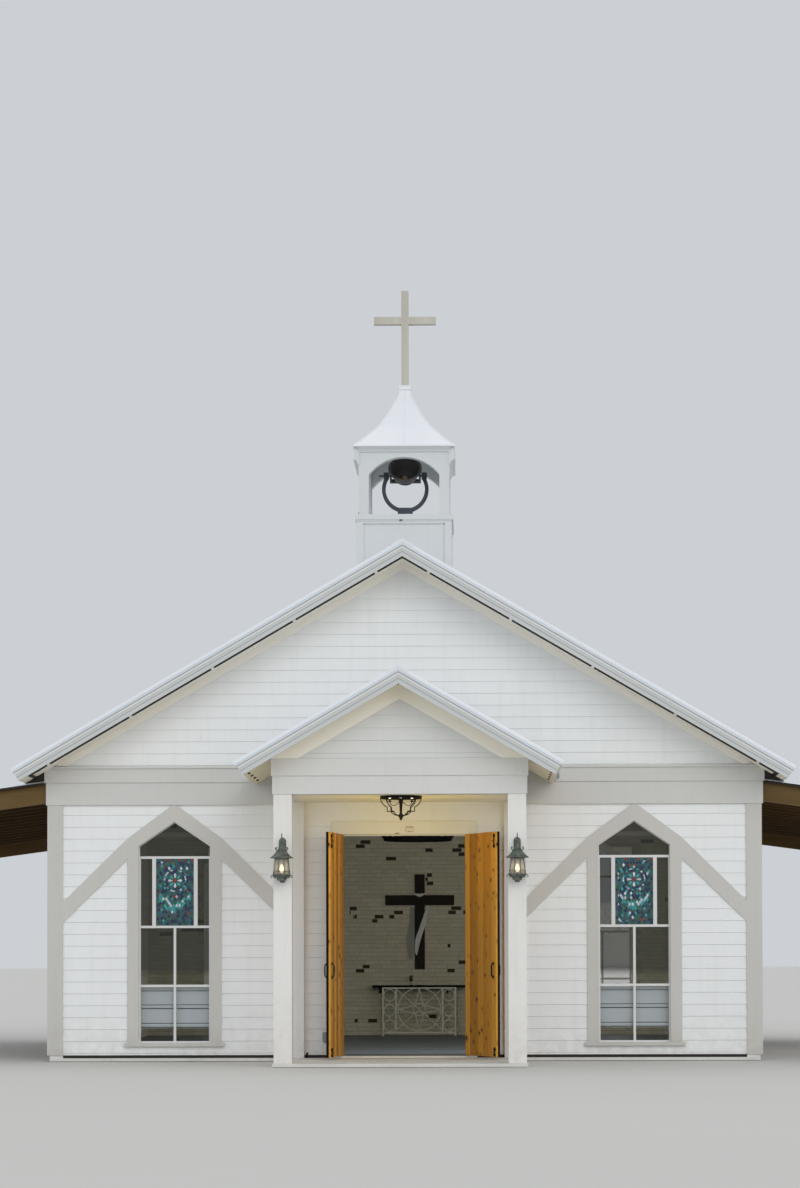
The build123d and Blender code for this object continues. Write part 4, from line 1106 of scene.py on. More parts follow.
# ------------------------------------------------------------------ door leaves and their iron
def hinge_matrix(side):
    x = side * HINGE_X * 0.001
    ang = math.radians(-98.8 if side < 0 else 118.0)
    h = Vector((x, HINGE_Y * 0.001, 0))
    return Matrix.Translation(h) @ Matrix.Rotation(ang, 4, "Z") @ Matrix.Translation(-h)


PLANKS = [111, 121, 116, 127, 110, 119, 118]
for side, body, nodes, name in ((-1, "left_leaf", "left_door", "left_door_leaf"), (1, "right_leaf", "right_door", "right_door_leaf")):
    ms = Mesh()
    x = -833.0
    widths = PLANKS if side < 0 else PLANKS[::-1]
    for w in widths:
        a, b = x + 1.0, x + w - 1.0
        if side > 0:
            a, b = -b, -a
        ms.cbox(a, b, -4600.0, -4543.0, 72.0, 2892.0, 6.5, 0)
        x += w
    a, b = sorted((side * 832.0, side * 12.0))
    # painted shade: a dark core behind the planks shows through the joints between them as shaded lines
    ms.box(a, b, -4592.0, -4551.0, 76.0, 2888.0, 2, 0.1)
    a, b = sorted((side * 11.0, side * 5.0))
    ms.cbox(a, b, -4600.0, -4569.0, 72.0, 2892.0, 1.0, 1, 0.5)
    ms.cbox(a, b, -4568.0, -4543.0, 72.0, 2892.0, 1.0, 0, 0.9)
    ob = ms.make(name, [M["door"], M["strip"], M["groove"]], body, hinge_matrix(side))
    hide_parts(nodes)


def hardware(side, body, node, name):
    ms = Mesh()

    def X(v):
        return v if side < 0 else -v

    def bx(x0, x1, y0, y1, z0, z1, c=2.0):
        a, b = sorted((X(x0), X(x1)))
        ms.cbox(a, b, y0, y1, z0, z1, c, 0)

    for hz in (300, 1480, 2660):
        # strap with a spear end, bolts, and a three-part knuckle
        pts = [(-825, -20), (-601, -16), (-576, -25), (-531, 0), (-576, 25), (-601, 16), (-825, 20)]
        pts = [(X(px), hz + pz) for px, pz in pts]
        ms.prism(pts, -4609.0, -4600.0)
        for bxp in (-796, -711, -626):
            ms.lathe([(0, 0), (9, 0), (8, 3.5), (4, 5.5), (0, 6)], 0, 0, 10, 0)
            k = len(ms.v) - 10 * 3 - 2
            for i in range(k, len(ms.v)):
                px, py, pz = ms.v[i]
                ms.v[i] = (X(bxp) * 0.001 + px, -4.6085 - pz, hz * 0.001 + py)
        for z0, z1 in ((-55, -19), (-17, 17), (19, 55)):
            ms.lathe([(0, hz + z0), (7.4, hz + z0), (8, hz + z0 + 1.5), (8, hz + z1 - 1.5), (7.4, hz + z1), (0, hz + z1)],
                     X(-HINGE_X), HINGE_Y, 16, 0)
        ms.lathe([(0, hz + 55), (5, hz + 56), (6, hz + 60), (3, hz + 64), (0, hz + 66)], X(-HINGE_X), HINGE_Y, 12, 0)
        ms.lathe([(0, hz - 66), (3, hz - 64), (6, hz - 60), (5, hz - 56), (0, hz - 55)], X(-HINGE_X), HINGE_Y, 12, 0)
        bx(-838, -823, -4613, -4600.5, hz - 18, hz + 18, 1.0)
    for yf, sg in ((-4543.0, 1.0), (-4600.0, -1.0)):
        # drawn-iron pull: leaf-shaped ends on the plank, a bowed grip between them
        path = [(-67, 2, 1258), (-69, 8, 1250), (-71, 18, 1238), (-67, 28, 1224), (-67, 30, 1200), (-67, 30, 1117),
                (-67, 28, 1093), (-71, 18, 1079), (-69, 8, 1067), (-67, 2, 1059)]
        ms.tube([(X(px), yf + sg * py, pz) for px, py, pz in path], [5, 6.5, 8, 8.6, 9.4, 9.4, 8.6, 8, 6.5, 5], 10)
        for zc, sgz in ((1238, 1), (1079, -1)):
            leaf = [(0, -18), (11, -6), (13, 6), (8, 18), (0, 30), (-8, 18), (-13, 6), (-11, -6)]
            pts = [(X(-67 + px), zc + sgz * pz) for px, pz in leaf]
            a, b = sorted((yf, yf + sg * 4))
            ms.prism(pts, a, b)
            curl = [(-67 + 12 * math.cos(t), 6 + 4 * t / 6, zc + sgz * (12 + 9 * math.sin(t))) for t in [i * 0.6 for i in range(9)]]
            ms.tube([(X(px), yf + sg * py, pz) for px, py, pz in curl], [3.2 - 0.2 * i for i in range(9)], 6)
    # short foot and head bolts on the inner face
    for z0, z1 in ((76, 196), (2686, 2868)):
        ms.lathe([(0, z0), (6, z0), (7, z0 + 3), (7, z1 - 3), (6, z1), (0, z1)], X(-34), -4530.0, 14, 0)
        for bz in (z0 + 26, z1 - 26):
            bx(-50, -18, -4543, -4540, bz - 16, bz + 16, 1.0)
            bx(-45, -23, -4541, -4520.5, bz - 11, bz + 11, 2.0)
        zz = (z0 + z1) / 2
        ms.tube([(X(-34), -4530, zz), (X(-34), -4508, zz), (X(-34), -4502, zz + 3)], [4, 4, 5], 8)
    ob = ms.make(name, [M["iron"]], body, hinge_matrix(side))
    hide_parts(node)


hardware(-1, "left_leaf", "left_door_ironwork", "left_door_hardware")
hardware(1, "right_leaf", "right_door_ironwork", "right_door_hardware")

# ------------------------------------------------------------------ lanterns on the posts
def turned(ms, cx, cy, pts, seg=24, mi=0, smooth=True):
    ms.lathe(pts, cx, cy, seg, mi, None, False, smooth)


def spiral(cx, cy, ang, pts):
    """Points of (outward, z) laid in the standing plane at angle ang through (cx, cy)."""
    return [(cx + r * math.cos(ang), cy + r * math.sin(ang), z) for r, z in pts]


LAN_Y = -6593.0
for name, LX in (("left_lantern", -1421.0), ("right_lantern", 1421.0)):
    ms = Mesh()
    # hood: brim, bell-shaped cover, neck
    turned(ms, LX, LAN_Y, [(0, 2522), (70, 2521), (128, 2520.5), (141, 2520.5), (141.5, 2524), (139, 2528), (124, 2534), (104, 2548),
                           (84, 2570), (68, 2590), (58, 2604), (50, 2610), (46, 2618), (50, 2622), (50, 2628), (42, 2632),
                           (26, 2638), (17, 2646), (12, 2656), (15, 2664), (17, 2674), (13, 2684), (8, 2692), (7, 2710), (0, 2712)], 32)
    for i in range(8):
        a = math.pi / 4 * i + math.pi / 8
        # ribs over the hood and the curled ears of its crown
        ms.tube(spiral(LX, LAN_Y, a, [(136, 2532), (118, 2540), (98, 2557), (80, 2578), (64, 2599), (56, 2612)]), [4, 4, 4, 4, 4, 4], 6)
        ms.tube(spiral(LX, LAN_Y, a, [(52, 2612), (66, 2616), (78, 2626), (82, 2640), (76, 2651), (66, 2650), (64, 2641), (70, 2637)]),
                [5, 5.5, 5.5, 5, 4.5, 4, 3.5, 3], 6)
    # hook
    ms.tube([(LX, LAN_Y, 2704), (LX, LAN_Y, 2730), (LX, LAN_Y - 4, 2762), (LX, LAN_Y - 3, 2790), (LX, LAN_Y + 8, 2812),
             (LX, LAN_Y + 26, 2819), (LX, LAN_Y + 42, 2808), (LX, LAN_Y + 44, 2790), (LX, LAN_Y + 34, 2782)],
            [9, 8, 7.5, 7, 6, 5.5, 5, 4.5, 4], 8)
    for zz, rr in ((2722, 13), (2752, 11)):
        turned(ms, LX, LAN_Y - (0 if zz < 2740 else 3), [(0, zz - 6), (rr * 0.7, zz - 5), (rr, zz), (rr * 0.7, zz + 5), (0, zz + 6)], 14)
    # cage
    for i in range(8):
        a = math.pi / 4 * i + math.pi / 8
        ms.tube(spiral(LX, LAN_Y, a, [(82, 2522), (85, 2500), (91, 2450), (98, 2392), (105, 2340), (108, 2318)]), 4.6, 6)
    for rr, zz, t in ((84, 2515, 4.5), (108, 2317, 6.5), (101, 2362, 3.2)):
        ms.tube([(LX + rr * math.cos(2 * math.pi * i / 32), LAN_Y + rr * math.sin(2 * math.pi * i / 32), zz) for i in range(32)],
                t, 6, 0, None, True)
    for i in range(8):
        a = math.pi / 4 * i
        ms.tube(spiral(LX, LAN_Y, a, [(106, 2318), (118, 2314), (128, 2304), (130, 2291), (122, 2283), (113, 2287), (114, 2296)]),
                [5, 5.5, 5.5, 5, 4.5, 4, 3.5], 6)
    # floor of the cage, cup and drop
    turned(ms, LX, LAN_Y, [(0, 2311), (106, 2311), (110, 2306), (104, 2300), (86, 2297), (70, 2288), (60, 2272), (56, 2262), (60, 2258),
                           (52, 2252), (30, 2249), (18, 2246), (14, 2240), (17, 2235), (12, 2228), (0, 2226)], 28)
    # candle cups
    turned(ms, LX, LAN_Y, [(0, 2310), (30, 2310), (34, 2318), (26, 2326), (14, 2330), (14, 2352), (0, 2352)], 16)
    # back plate and arms
    ms.prism([(LX - 30, 2560), (LX + 30, 2560), (LX + 44, 2600), (LX + 44, 2740), (LX + 26, 2768), (LX, 2780), (LX - 26, 2768),
              (LX - 44, 2740), (LX - 44, 2600)], -6453.0, -6443.2)
    ms.prism([(LX - 34, 2572), (LX + 34, 2572), (LX + 38, 2604), (LX + 38, 2736), (LX, 2766), (LX - 38, 2736), (LX - 38, 2604)],
             -6457.0, -6452.0)
    ms.tube([(LX, -6452, 2700), (LX, -6490, 2706), (LX, -6530, 2722), (LX, -6562, 2724), (LX, LAN_Y + 6, 2706), (LX, LAN_Y, 2690)],
            [9, 8, 7, 7, 7, 7], 8)
    ms.tube([(LX, -6452, 2640), (LX, -6482, 2646), (LX, -6506, 2668), (LX, -6520, 2696), (LX, -6516, 2712)], [6, 6, 5, 4.5, 4], 8)
    ms.tube([(LX, -6452, 2258), (LX, -6490, 2256), (LX, -6540, 2262)], [6, 6, 6], 8)
    ms.cbox(LX - 30, LX + 30, -6452, -6443.2, 2230, 2290, 2.5)
    # glass and lamp
    ms.lathe([(79, 2512), (98, 2326), (95.5, 2326), (76.5, 2512)], LX, LAN_Y, 32, 1, None, True)
    ms.lathe([(0, 2352), (15, 2353), (24, 2366), (27, 2386), (23, 2410), (13, 2432), (5, 2446), (0, 2449)], LX, LAN_Y, 18, 2)
    ob = ms.make(name, [M["lantern"], M["frost"], M["glow"]])
    if LX < 0:
        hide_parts("lanterns")

# ------------------------------------------------------------------ basket light under the porch ceiling
LY = -5950.0
ms = Mesh()
for z0, z1, r0 in ((3298, 3309, 257), (3271, 3284, 257)):
    ms.lathe([(r0, z0), (r0, z1), (r0 - 7, z1), (r0 - 7, z0)], 0, LY, 56, 0, None, True)
ms.lathe([(254, 3283), (254, 3299), (251, 3299), (251, 3283)], 0, LY, 56, 0, None, True)
for i in range(8):
    a = math.pi / 4 * i
    ms.tube(spiral(0, LY, a, [(251, 3274), (247, 3256), (236, 3228), (214, 3200), (190, 3180), (171, 3169), (166, 3166)]), 5.6, 8)
    ms.tube(spiral(0, LY, a, [(167, 3170), (168, 3150), (168, 3128), (166, 3115)]), 5.6, 8)
    ms.tube(spiral(0, LY, a, [(171, 3116), (150, 3116), (128, 3116), (119, 3113)]), 5.6, 8)
    ms.tube(spiral(0, LY, a, [(121, 3117), (112, 3098), (92, 3082), (66, 3071), (40, 3064)]), 5.6, 8)
for i in range(4):
    a = math.pi / 2 * i
    # arm and lamp holder
    ms.tube(spiral(0, LY, a, [(8, 3236), (30, 3226), (56, 3200), (86, 3187), (112, 3192), (130, 3212), (136, 3232)]), 4.2, 8)
    cx, cy = 136 * math.cos(a), LY + 136 * math.sin(a)
    ms.lathe([(0, 3228), (14, 3230), (24, 3238), (15, 3242), (12, 3246), (12, 3270), (0, 3271)], cx, cy, 14, 0)
    ms.lathe([(0, 3270), (10, 3272), (15, 3282), (13, 3294), (6, 3304), (0, 3307)], cx, cy, 12, 1)
    # bars that carry the ring from the ceiling plate
    ms.tube(spiral(0, LY, a + math.pi / 4, [(36, 3302), (140, 3302), (252, 3303)]), 4.5, 6)
ms.lathe([(0, 3310), (92, 3310), (92, 3303), (60, 3296), (30, 3288), (24, 3270), (30, 3258), (26, 3240), (20, 3200), (17, 3150),
          (15, 3100), (20, 3082), (36, 3070), (40, 3062), (34, 3052), (20, 3044), (24, 3036), (17, 3022), (6, 3006), (0, 2999)], 0, LY, 24, 0)
ob = ms.make("porch_basket_light", [M["iron"], M["glow2"]])
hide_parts("porch_ceiling_light")

# ------------------------------------------------------------------ bell cote: hips, seams, eaves moulding, bolts, flashing
ms = Mesh()
LV = [(661, 7960), (571.5, 8028), (452, 8147), (333, 8274), (228, 8431), (154, 8573), (79, 8722), (69, 8799)]
for sx in (-1, 1):
    for sy in (-1, 1):
        ms.tube([(sx * (h - 3), COTE_Y + sy * (h - 3), z + 3) for h, z in LV], [9] * len(LV), 6, 0, 0.2, False, False)
for ang in range(4):
    ca, sa = math.cos(math.pi / 2 * ang), math.sin(math.pi / 2 * ang)
    pts = [(-h * sa, COTE_Y - h * ca, z + 1) for h, z in LV]
    ms.tube(pts, [5] * len(pts), 6, 0, 0.2, False, False)
    # eave hem, drawn grey as a painted shadow line under the eave
    a = 656.5
    p0, p1 = (-a, -a), (a, -a)
    q = [(x * ca - y * sa, COTE_Y + x * sa + y * ca) for x, y in (p0, p1)]
    ms.tube([(q[0][0], q[0][1], 7950), (q[1][0], q[1][1], 7950)], [4.2, 4.2], 6, 1, 0.2)
ms.cbox(-84, 84, COTE_Y - 84, COTE_Y + 84, 8842, 8855, 2.0, 0, 0.2)
ms.make("cote_roof_trim", [M["roof"], M["greyline"]])

ms = Mesh()
for ang in range(4):
    ca, sa = math.cos(math.pi / 2 * ang), math.sin(math.pi / 2 * ang)

    def rot(x, y):
        return (x * ca - y * sa, COTE_Y + x * sa + y * ca)
    if ang % 2 == 0:
        # moulding under the front and rear eaves
        prof = [(607, 7896), (616, 7900), (622, 7912), (634, 7920), (644, 7932), (648, 7940.5), (607, 7940.5)]
        a = [(*rot(-600, -u), z) for u, z in prof]
        b = [(*rot(600, -u), z) for u, z in prof]
        n = len(prof)
        ms.add(a + b, [list(range(n)), list(range(2 * n - 1, n - 1, -1))] + [(i, n + i, n + (i + 1) % n, (i + 1) % n) for i in range(n)])
    # fillets round the sunk panels of the base
    for x0, x1, z0, z1 in ((-527, 527, 6930, 6944), (-527, -513, 6200, 6944), (513, 527, 6200, 6944)):
        c4 = [rot(x0, -598.5), rot(x1, -598.5), rot(x1, -606), rot(x0, -606)]
        if z1 - z0 > 100:
            z0 = 6240 if ang % 2 == 0 else 6330
        ms.hexa([(px, py, z0) for px, py in c4], [(px, py, z1) for px, py in c4])
    # small bead under the sill cap
    c4 = [rot(-COTE_HW - 8, -COTE_HW + 1), rot(COTE_HW + 8, -COTE_HW + 1), rot(COTE_HW + 8, -COTE_HW - 9), rot(-COTE_HW - 8, -COTE_HW - 9)]
    ms.hexa([(px, py, 6976) for px, py in c4], [(px, py, 6994) for px, py in c4])
    # plinths at the foot of the corner piers
    for s0 in (-1, 1):
        x0, x1 = sorted((s0 * 458.5, s0 * 592.0))
        c4 = [rot(x0 - (2 if s0 < 0 else 0), -586), rot(x1, -586), rot(x1, -592), rot(x0, -592)]
        ms.hexa([(px, py, 7062) for px, py in c4], [(px, py, 7096) for px, py in c4])
ms.make("cote_mouldings", [M["cote"]])

ms = Mesh()
# flashing where the base meets the roof
m_a = ROOF_A + METAL_T / C
for sgn in (-1, 1):
    y0 = COTE_Y + sgn * COTE_HW
    a, b = sorted((y0, y0 + sgn * 5))
    for s in (-1, 1):
        ms.prism([(0, m_a + 20), (s * 625, m_a + 20 - PITCH * 625), (s * 625, m_a + 95 - PITCH * 625), (0, m_a + 95)], a, b, 0, 0.4)
for s in (-1, 1):
    a, b = sorted((s * COTE_HW, s * (COTE_HW + 5)))
    ms.box(a, b, COTE_Y - COTE_HW - 4, COTE_Y + COTE_HW + 4, m_a - PITCH * 625 - 4, m_a - PITCH * 616 + 92, 0, 0.4)
# porch roof against the wall
for s in (-1, 1):
    pa = PORCH_A + METAL_T / C
    ms.prism([(s * 0, pa + 10), (s * (PORCH_X + 8), pa + 10 - PITCH * (PORCH_X + 8)), (s * (PORCH_X + 8), pa + 70 - PITCH * (PORCH_X + 8)), (0, pa + 70)],
             -HALF_L - 20, -HALF_L - 12, 0, 0.4)
ms.make("roof_flashings", [M["roof"]])

ms = Mesh()
for sx in (-33, 33):
    for fy, sg in ((COTE_Y - 60, -1), (COTE_Y + 60, 1)):
        ms.lathe([(0, 0), (17, 0), (17, 3), (11, 3.4), (11, 11), (8.5, 13), (0, 13)], 0, 0, 6, 0, None, False, False)
        k = len(ms.v) - (6 * 5 + 2)
        for i in range(k, len(ms.v)):
            px, py, pz = ms.v[i]
            ms.v[i] = (sx * 0.001 + px, fy * 0.001 + sg * pz, 7.128 + py)
ms.make("cradle_bolts", [M["bolt"]])
ms = Mesh()
ms.cbox(-58, -22, COTE_Y - COTE_HW - 26, COTE_Y - COTE_HW - 8, 6974, 6992, 2)
ms.make("cote_drain_plate", [M["hub"]])

# bell: bead lines and a rim, in the bell's own turned-up place
BT = math.radians(-122.0)
bell_m = Matrix.Translation(Vector((0, COTE_Y * 0.001, 7.669))) @ Matrix.Rotation(BT, 4, "X")
ms = Mesh()
for rr, zz, t in ((214.5, -130.0, 4.2), (197.0, -106.0, 3.0), (191.0, -95.0, 2.4), (152.0, 8.0, 2.6), (146.5, 19.0, 2.2)):
    ms.tube([(rr * math.cos(2 * math.pi * i / 48), rr * math.sin(2 * math.pi * i / 48), zz) for i in range(48)], t, 6, 0, None, True)
ms.lathe([(0, 40), (30, 42), (42, 50), (44, 60), (36, 67), (0, 69)], 0, 0, 20, 1)
ms.lathe([(0, 30), (12, 30), (13, 40), (0, 41)], 0, 0, 6, 1, None, False, False)
ms.make("bell_beads", [M["bell"], M["hub"]], "swinging_bell", bell_m)

# ------------------------------------------------------------------ leaded coloured glass: lozenge field, round rosette, block border
PAL = ["g_navy", "g_teal", "g_turq", "g_green", "g_white", "g_red", "g_slate"]
for name, cx in (("left_coloured_glass", -WIN_X), ("right_coloured_glass", WIN_X)):
    ms = Mesh()
    rg = random.Random(31 if cx < 0 else 57)
    yb = -HALF_L + 70.0
    X0, X1, Z0, Z1 = cx - 242.0, cx + 242.0, 1736.0, 2591.0
    ms.box(X0, X1, yb - 5, yb, Z0, Z1, 7)
    cz = (Z0 + Z1) / 2 + 150

    def pane(poly, mi, depth=10.0, gap=1.9):
        q = inset(poly, gap)
        if q and len(q) >= 3:
            ms.prism(q, yb - depth, yb - 4.5, mi)

    def pick(weights):
        t = rg.uniform(0, sum(weights))
        for i, w in enumerate(weights):
            t -= w
            if t <= 0:
                return i
        return 0
    # border blocks
    bw = 34.0
    nx, nz = 12, 22
    for i in range(nx):
        a, b = X0 + (X1 - X0) * i / nx, X0 + (X1 - X0) * (i + 1) / nx
        pane([(a, Z1 - bw), (b, Z1 - bw), (b, Z1), (a, Z1)], [5, 1, 6, 0][(i + 1) % 4] if i % 2 else 1)
        pane([(a, Z0), (b, Z0), (b, Z0 + bw), (a, Z0 + bw)], [3, 6, 1, 0][i % 4])
    for i in range(nz):
        a, b = Z0 + bw + (Z1 - Z0 - 2 * bw) * i / nz, Z0 + bw + (Z1 - Z0 - 2 * bw) * (i + 1) / nz
        pane([(X0, a), (X0 + bw, a), (X0 + bw, b), (X0, b)], [6, 0, 3, 1, 6][i % 5])
        pane([(X1 - bw, a), (X1, a), (X1, b), (X1 - bw, b)], [0, 6, 1, 3, 6][i % 5])
    # field of lozenges, light in a chevron band
    lw, lh = 38.0, 56.0
    fx0, fx1, fz0, fz1 = X0 + bw, X1 - bw, Z0 + bw, Z1 - bw
    R0 = 148.0
    j = 0
    z = fz0 - lh
    while z < fz1 + lh:
        x = fx0 - lw + (lw / 2 if j % 2 else 0)
        while x < fx1 + lw:
            poly = [(x, z - lh / 2), (x + lw / 2, z), (x, z + lh / 2), (x - lw / 2, z)]
            q = clip_box(poly, fx0, fx1, fz0, fz1)
            far = max(math.hypot(px - cx, pz - cz) for px, pz in q) if len(q) > 2 else 0
            if len(q) > 2 and far > R0 - 6:
                t = (z - Z0) / (Z1 - Z0)
                chev = (z - Z0) - abs(x - cx) * 0.75
                if 205 < chev < 268:
                    mi = pick([0, 1, 4, 1, 5, 0, 0])
                elif 150 < chev <= 205:
                    mi = pick([1, 3, 6, 2, 0, 0, 0])
                elif t < 0.3:
                    mi = pick([4, 2, 1, 1, 0.3, 0.3, 5])
                else:
                    mi = pick([4, 4, 1, 2, 0.6, 0.5, 3])
                pane(q, mi, 9.0, 1.6)
            x += lw
        z += lh / 2
        j += 1
    # rosette: centre, eight petals, two rings of blocks
    ring_y = yb - 6.0
    ms.lathe([(0, 0), (R0, 0), (R0, 2.5), (0, 2.5)], 0, 0, 48, 7, None, False, False)
    k = len(ms.v) - (48 * 2 + 2)
    for i in range(k, len(ms.v)):
        px, py, pz = ms.v[i]
        ms.v[i] = (cx * 0.001 + px, (ring_y - 3.0) * 0.001 - pz, cz * 0.001 + py)

    def sector(r0, r1, a0, a1, mi, steps=3):
        outer = [(cx + r1 * math.cos(a0 + (a1 - a0) * i / steps), cz + r1 * math.sin(a0 + (a1 - a0) * i / steps)) for i in range(steps + 1)]
        inner_ = [(cx + r0 * math.cos(a1 + (a0 - a1) * i / steps), cz + r0 * math.sin(a1 + (a0 - a1) * i / steps)) for i in range(steps + 1)]
        g = 1.7
        am = (a0 + a1) / 2
        pts = []
        for px, pz in outer + inner_:
            dx, dz = px - cx, pz - cz
            rr = math.hypot(dx, dz)
            an = math.atan2(dz, dx)
            while an - am > math.pi:
                an -= 2 * math.pi
            while an - am < -math.pi:
                an += 2 * math.pi
            an += (g / rr) * (1 if an < am else -1)
            rr += g if abs(rr - r0) < 0.01 else -g
            pts.append((cx + rr * math.cos(an), cz + rr * math.sin(an)))
        ms.prism(pts, ring_y - 7.8, ring_y - 5.0, mi)
    nb = 28
    for i in range(nb):
        a0, a1 = 2 * math.pi * i / nb, 2 * math.pi * (i + 1) / nb
        sector(126, 147, a0, a1, [4, 2, 6, 4, 0][(i * 3 + rg.randrange(2)) % 5])
    for i in range(16):
        a0, a1 = 2 * math.pi * (i + 0.5) / 16, 2 * math.pi * (i + 1.5) / 16
        sector(96, 126, a0, a1, [0, 6, 1, 0][i % 4])
    for i in range(8):
        a = 2 * math.pi * i / 8
        petal = [(cx + r * math.cos(a + w), cz + r * math.sin(a + w)) for r, w in
                 ((26, 0.0), (46, 0.22), (70, 0.24), (88, 0.12), (94, 0.0), (88, -0.12), (70, -0.24), (46, -0.22))]
        ms.prism(petal, ring_y - 8.2, ring_y - 5.0, 2 if i % 2 else 4)
        b = a + math.pi / 8
        tri = [(cx + r * math.cos(b + w), cz + r * math.sin(b + w)) for r, w in ((54, 0.0), (93, 0.20), (93, -0.20))]
        ms.prism(tri, ring_y - 7.6, ring_y - 5.0, 1 if i % 2 else 3)
    ms.prism([(cx + 22 * math.cos(2 * math.pi * i / 12), cz + 22 * math.sin(2 * math.pi * i / 12)) for i in range(12)],
             ring_y - 8.4, ring_y - 5.0, 5)
    ob = ms.make(name, [M[q] for q in PAL] + [M["lead"]])
    if cx < 0:
        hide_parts("coloured_glass_panels")

# ------------------------------------------------------------------ scarf on the wall cross
def ribbon(rows):
    """Rows of (centre, half-width vector, fold depth vector, fold shift); three soft pleats across."""
    cross = 29
    vs, fs = [], []
    for c, h, f, ph in rows:
        for k in range(cross):
            t = k / (cross - 1) * 2 - 1
            w = math.sin(t * math.pi * 3.0 + ph) * (1.0 - 0.25 * t * t)
            vs.append(tuple(c[i] + h[i] * t + f[i] * w for i in range(3)))
    for r in range(len(rows) - 1):
        for k in range(cross - 1):
            a = r * cross + k
            fs.append((a, a + 1, a + cross + 1, a + cross))
    return vs, fs


def smooth_path(keys, per):
    """Catmull-Rom values through keys, each a tuple of numbers."""
    out = []
    n = len(keys)
    for i in range(n - 1):
        p0, p1, p2, p3 = keys[max(i - 1, 0)], keys[i], keys[i + 1], keys[min(i + 2, n - 1)]
        for j in range(per):
            t = j / per
            out.append(tuple(0.5 * ((2 * b) + (c - a) * t + (2 * a - 5 * b + 4 * c - d) * t * t + (3 * b - a - 3 * c + d) * t ** 3)
                             for a, b, c, d in zip(p0, p1, p2, p3)))
    out.append(tuple(keys[-1]))
    return out


CR = INNER_Y - 50.0      # front face of the upright, 4372
# x, y, z of the centre, half width along x, half width along z, fold depth along y
keys = [(-142, 4390, 1284, 26, 0, 4), (-144, 4390, 1345, 38, 0, 6), (-146, 4390, 1408, 48, 0, 8), (-147, 4390, 1460, 46, 0, 8),
        (-148, 4390, 1526, 60, 0, 9), (-140, 4390, 1650, 54, 0, 9), (-130, 4390, 1820, 42, 0, 8), (-118, 4392, 1980, 33, 0, 7),
        (-113, 4400, 2085, 29, 0, 5), (-111, 4410, 2135, 26, 0, 2), (-109, 4413.6, 2175, 22, 0, 0.9), (-106, 4413.6, 2285, 19, 0, 0.9),
        (-104, 4408, 2327, 16, 0, 1.5), (-99, 4390, 2340, 12, 5, 2), (-88, 4368, 2335, 6, 9, 3), (-50, 4361, 2324, 3, 18, 4),
        (0, 4360, 2312, 0, 26, 4), (50, 4361, 2324, -3, 18, 4), (90, 4368, 2335, -6, 9, 3), (104, 4390, 2340, -12, 5, 2),
        (117, 4408, 2327, -16, 0, 1.5), (124, 4413.6, 2285, -19, 0, 0.9), (126, 4413.6, 2175, -21, 0, 0.9), (124, 4409, 2135, -22, 0, 2.5),
        (117, 4382, 2078, -24, 0, 4), (100, 4363, 2020, -27, 0, 4.5), (82, 4361, 1957, -30, 0, 5), (64, 4361, 1878, -41, 0, 6),
        (25, 4361, 1761, -41, 0, 6), (-16, 4361, 1643, -43, 0, 6), (-40, 4361, 1526, -36, 0, 6), (-53, 4361, 1408, -23, 0, 4.5),
        (-52, 4361, 1349, -9, 0, 2)]
rows = []
for i, (x, y, z, hx, hz, fd) in enumerate(smooth_path(keys, 5)):
    rows.append(((x * 0.001, y * 0.001, z * 0.001), (abs(hx) * 0.001, 0.0, hz * 0.001), (0.0, fd * 0.001, 0.0), i * 0.05))
vs, fs = ribbon(rows)
me = bpy.data.meshes.new("white_scarf")
me.from_pydata(vs, [], fs)
me.materials.append(M["cloth"])
for pl in me.polygons:
    pl.use_smooth = True
shade = me.attributes.new("tail_darkening", "FLOAT", "POINT")
for i, v in enumerate(me.vertices):
    # the long tail, against the wall below about 2.16 m, is drawn in a darker grey
    shade.data[i].value = max(0.0, min(1.0, (2160.0 - v.co.z * 1000) / 60.0)) if v.co.x < -0.075 and v.co.y > 4.3745 else 0.0
scarf = bpy.data.objects.new("white_scarf", me)
bpy.context.scene.collection.objects.link(scarf)
sol = scarf.modifiers.new("thick", "SOLIDIFY")
sol.thickness = 0.0012
sol.offset = 0.0
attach(scarf, "building")
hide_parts("cross_drape")

# ------------------------------------------------------------------ altar: table top and tray
ms = Mesh()
ms.cbox(-750, 750, 3900, 4400, 838.5, 864.8, 3.0)
ms.make("altar_top_edge", [M["dark2"]])
ms = Mesh()
ms.lathe([(0, 865), (44, 865), (52, 872), (50, 874), (43, 868), (0, 868)], -15, 4080, 28, 0)
ms.make("altar_plate", [M["dark2"]])

# ------------------------------------------------------------------ chandelier: cups and candles on the ring
ms = Mesh()
CHY = 3000.0
for i in range(24):
    # drip cup and candle tube on a short bracket outside the ring
    a = 2 * math.pi * (i + 0.5) / 24
    if i % 6 == 2:
        continue
    ca, sa = math.cos(a), math.sin(a)
    ms.tube([(526 * ca, CHY + 526 * sa, 3160), (540 * ca, CHY + 540 * sa, 3163), (546 * ca, CHY + 546 * sa, 3178)], [5, 5, 5], 6)
    ms.lathe([(0, 3177), (12, 3178), (18, 3184), (25, 3196), (25, 3200), (17, 3201), (17, 3250), (0, 3252)],
             546 * ca, CHY + 546 * sa, 12, 0)
for i in range(24):
    a = 2 * math.pi * i / 24
    cx, cy = 528 * math.cos(a), CHY + 528 * math.sin(a)
    ms.lathe([(0, 3142), (5, 3143), (8, 3149), (5, 3155), (0, 3156)], cx, cy, 8, 0)
for zz in (3134, 3185):
    ms.tube([(527 * math.cos(2 * math.pi * i / 64), CHY + 527 * math.sin(2 * math.pi * i / 64), zz) for i in range(64)], 4.0, 6, 0, None, True)
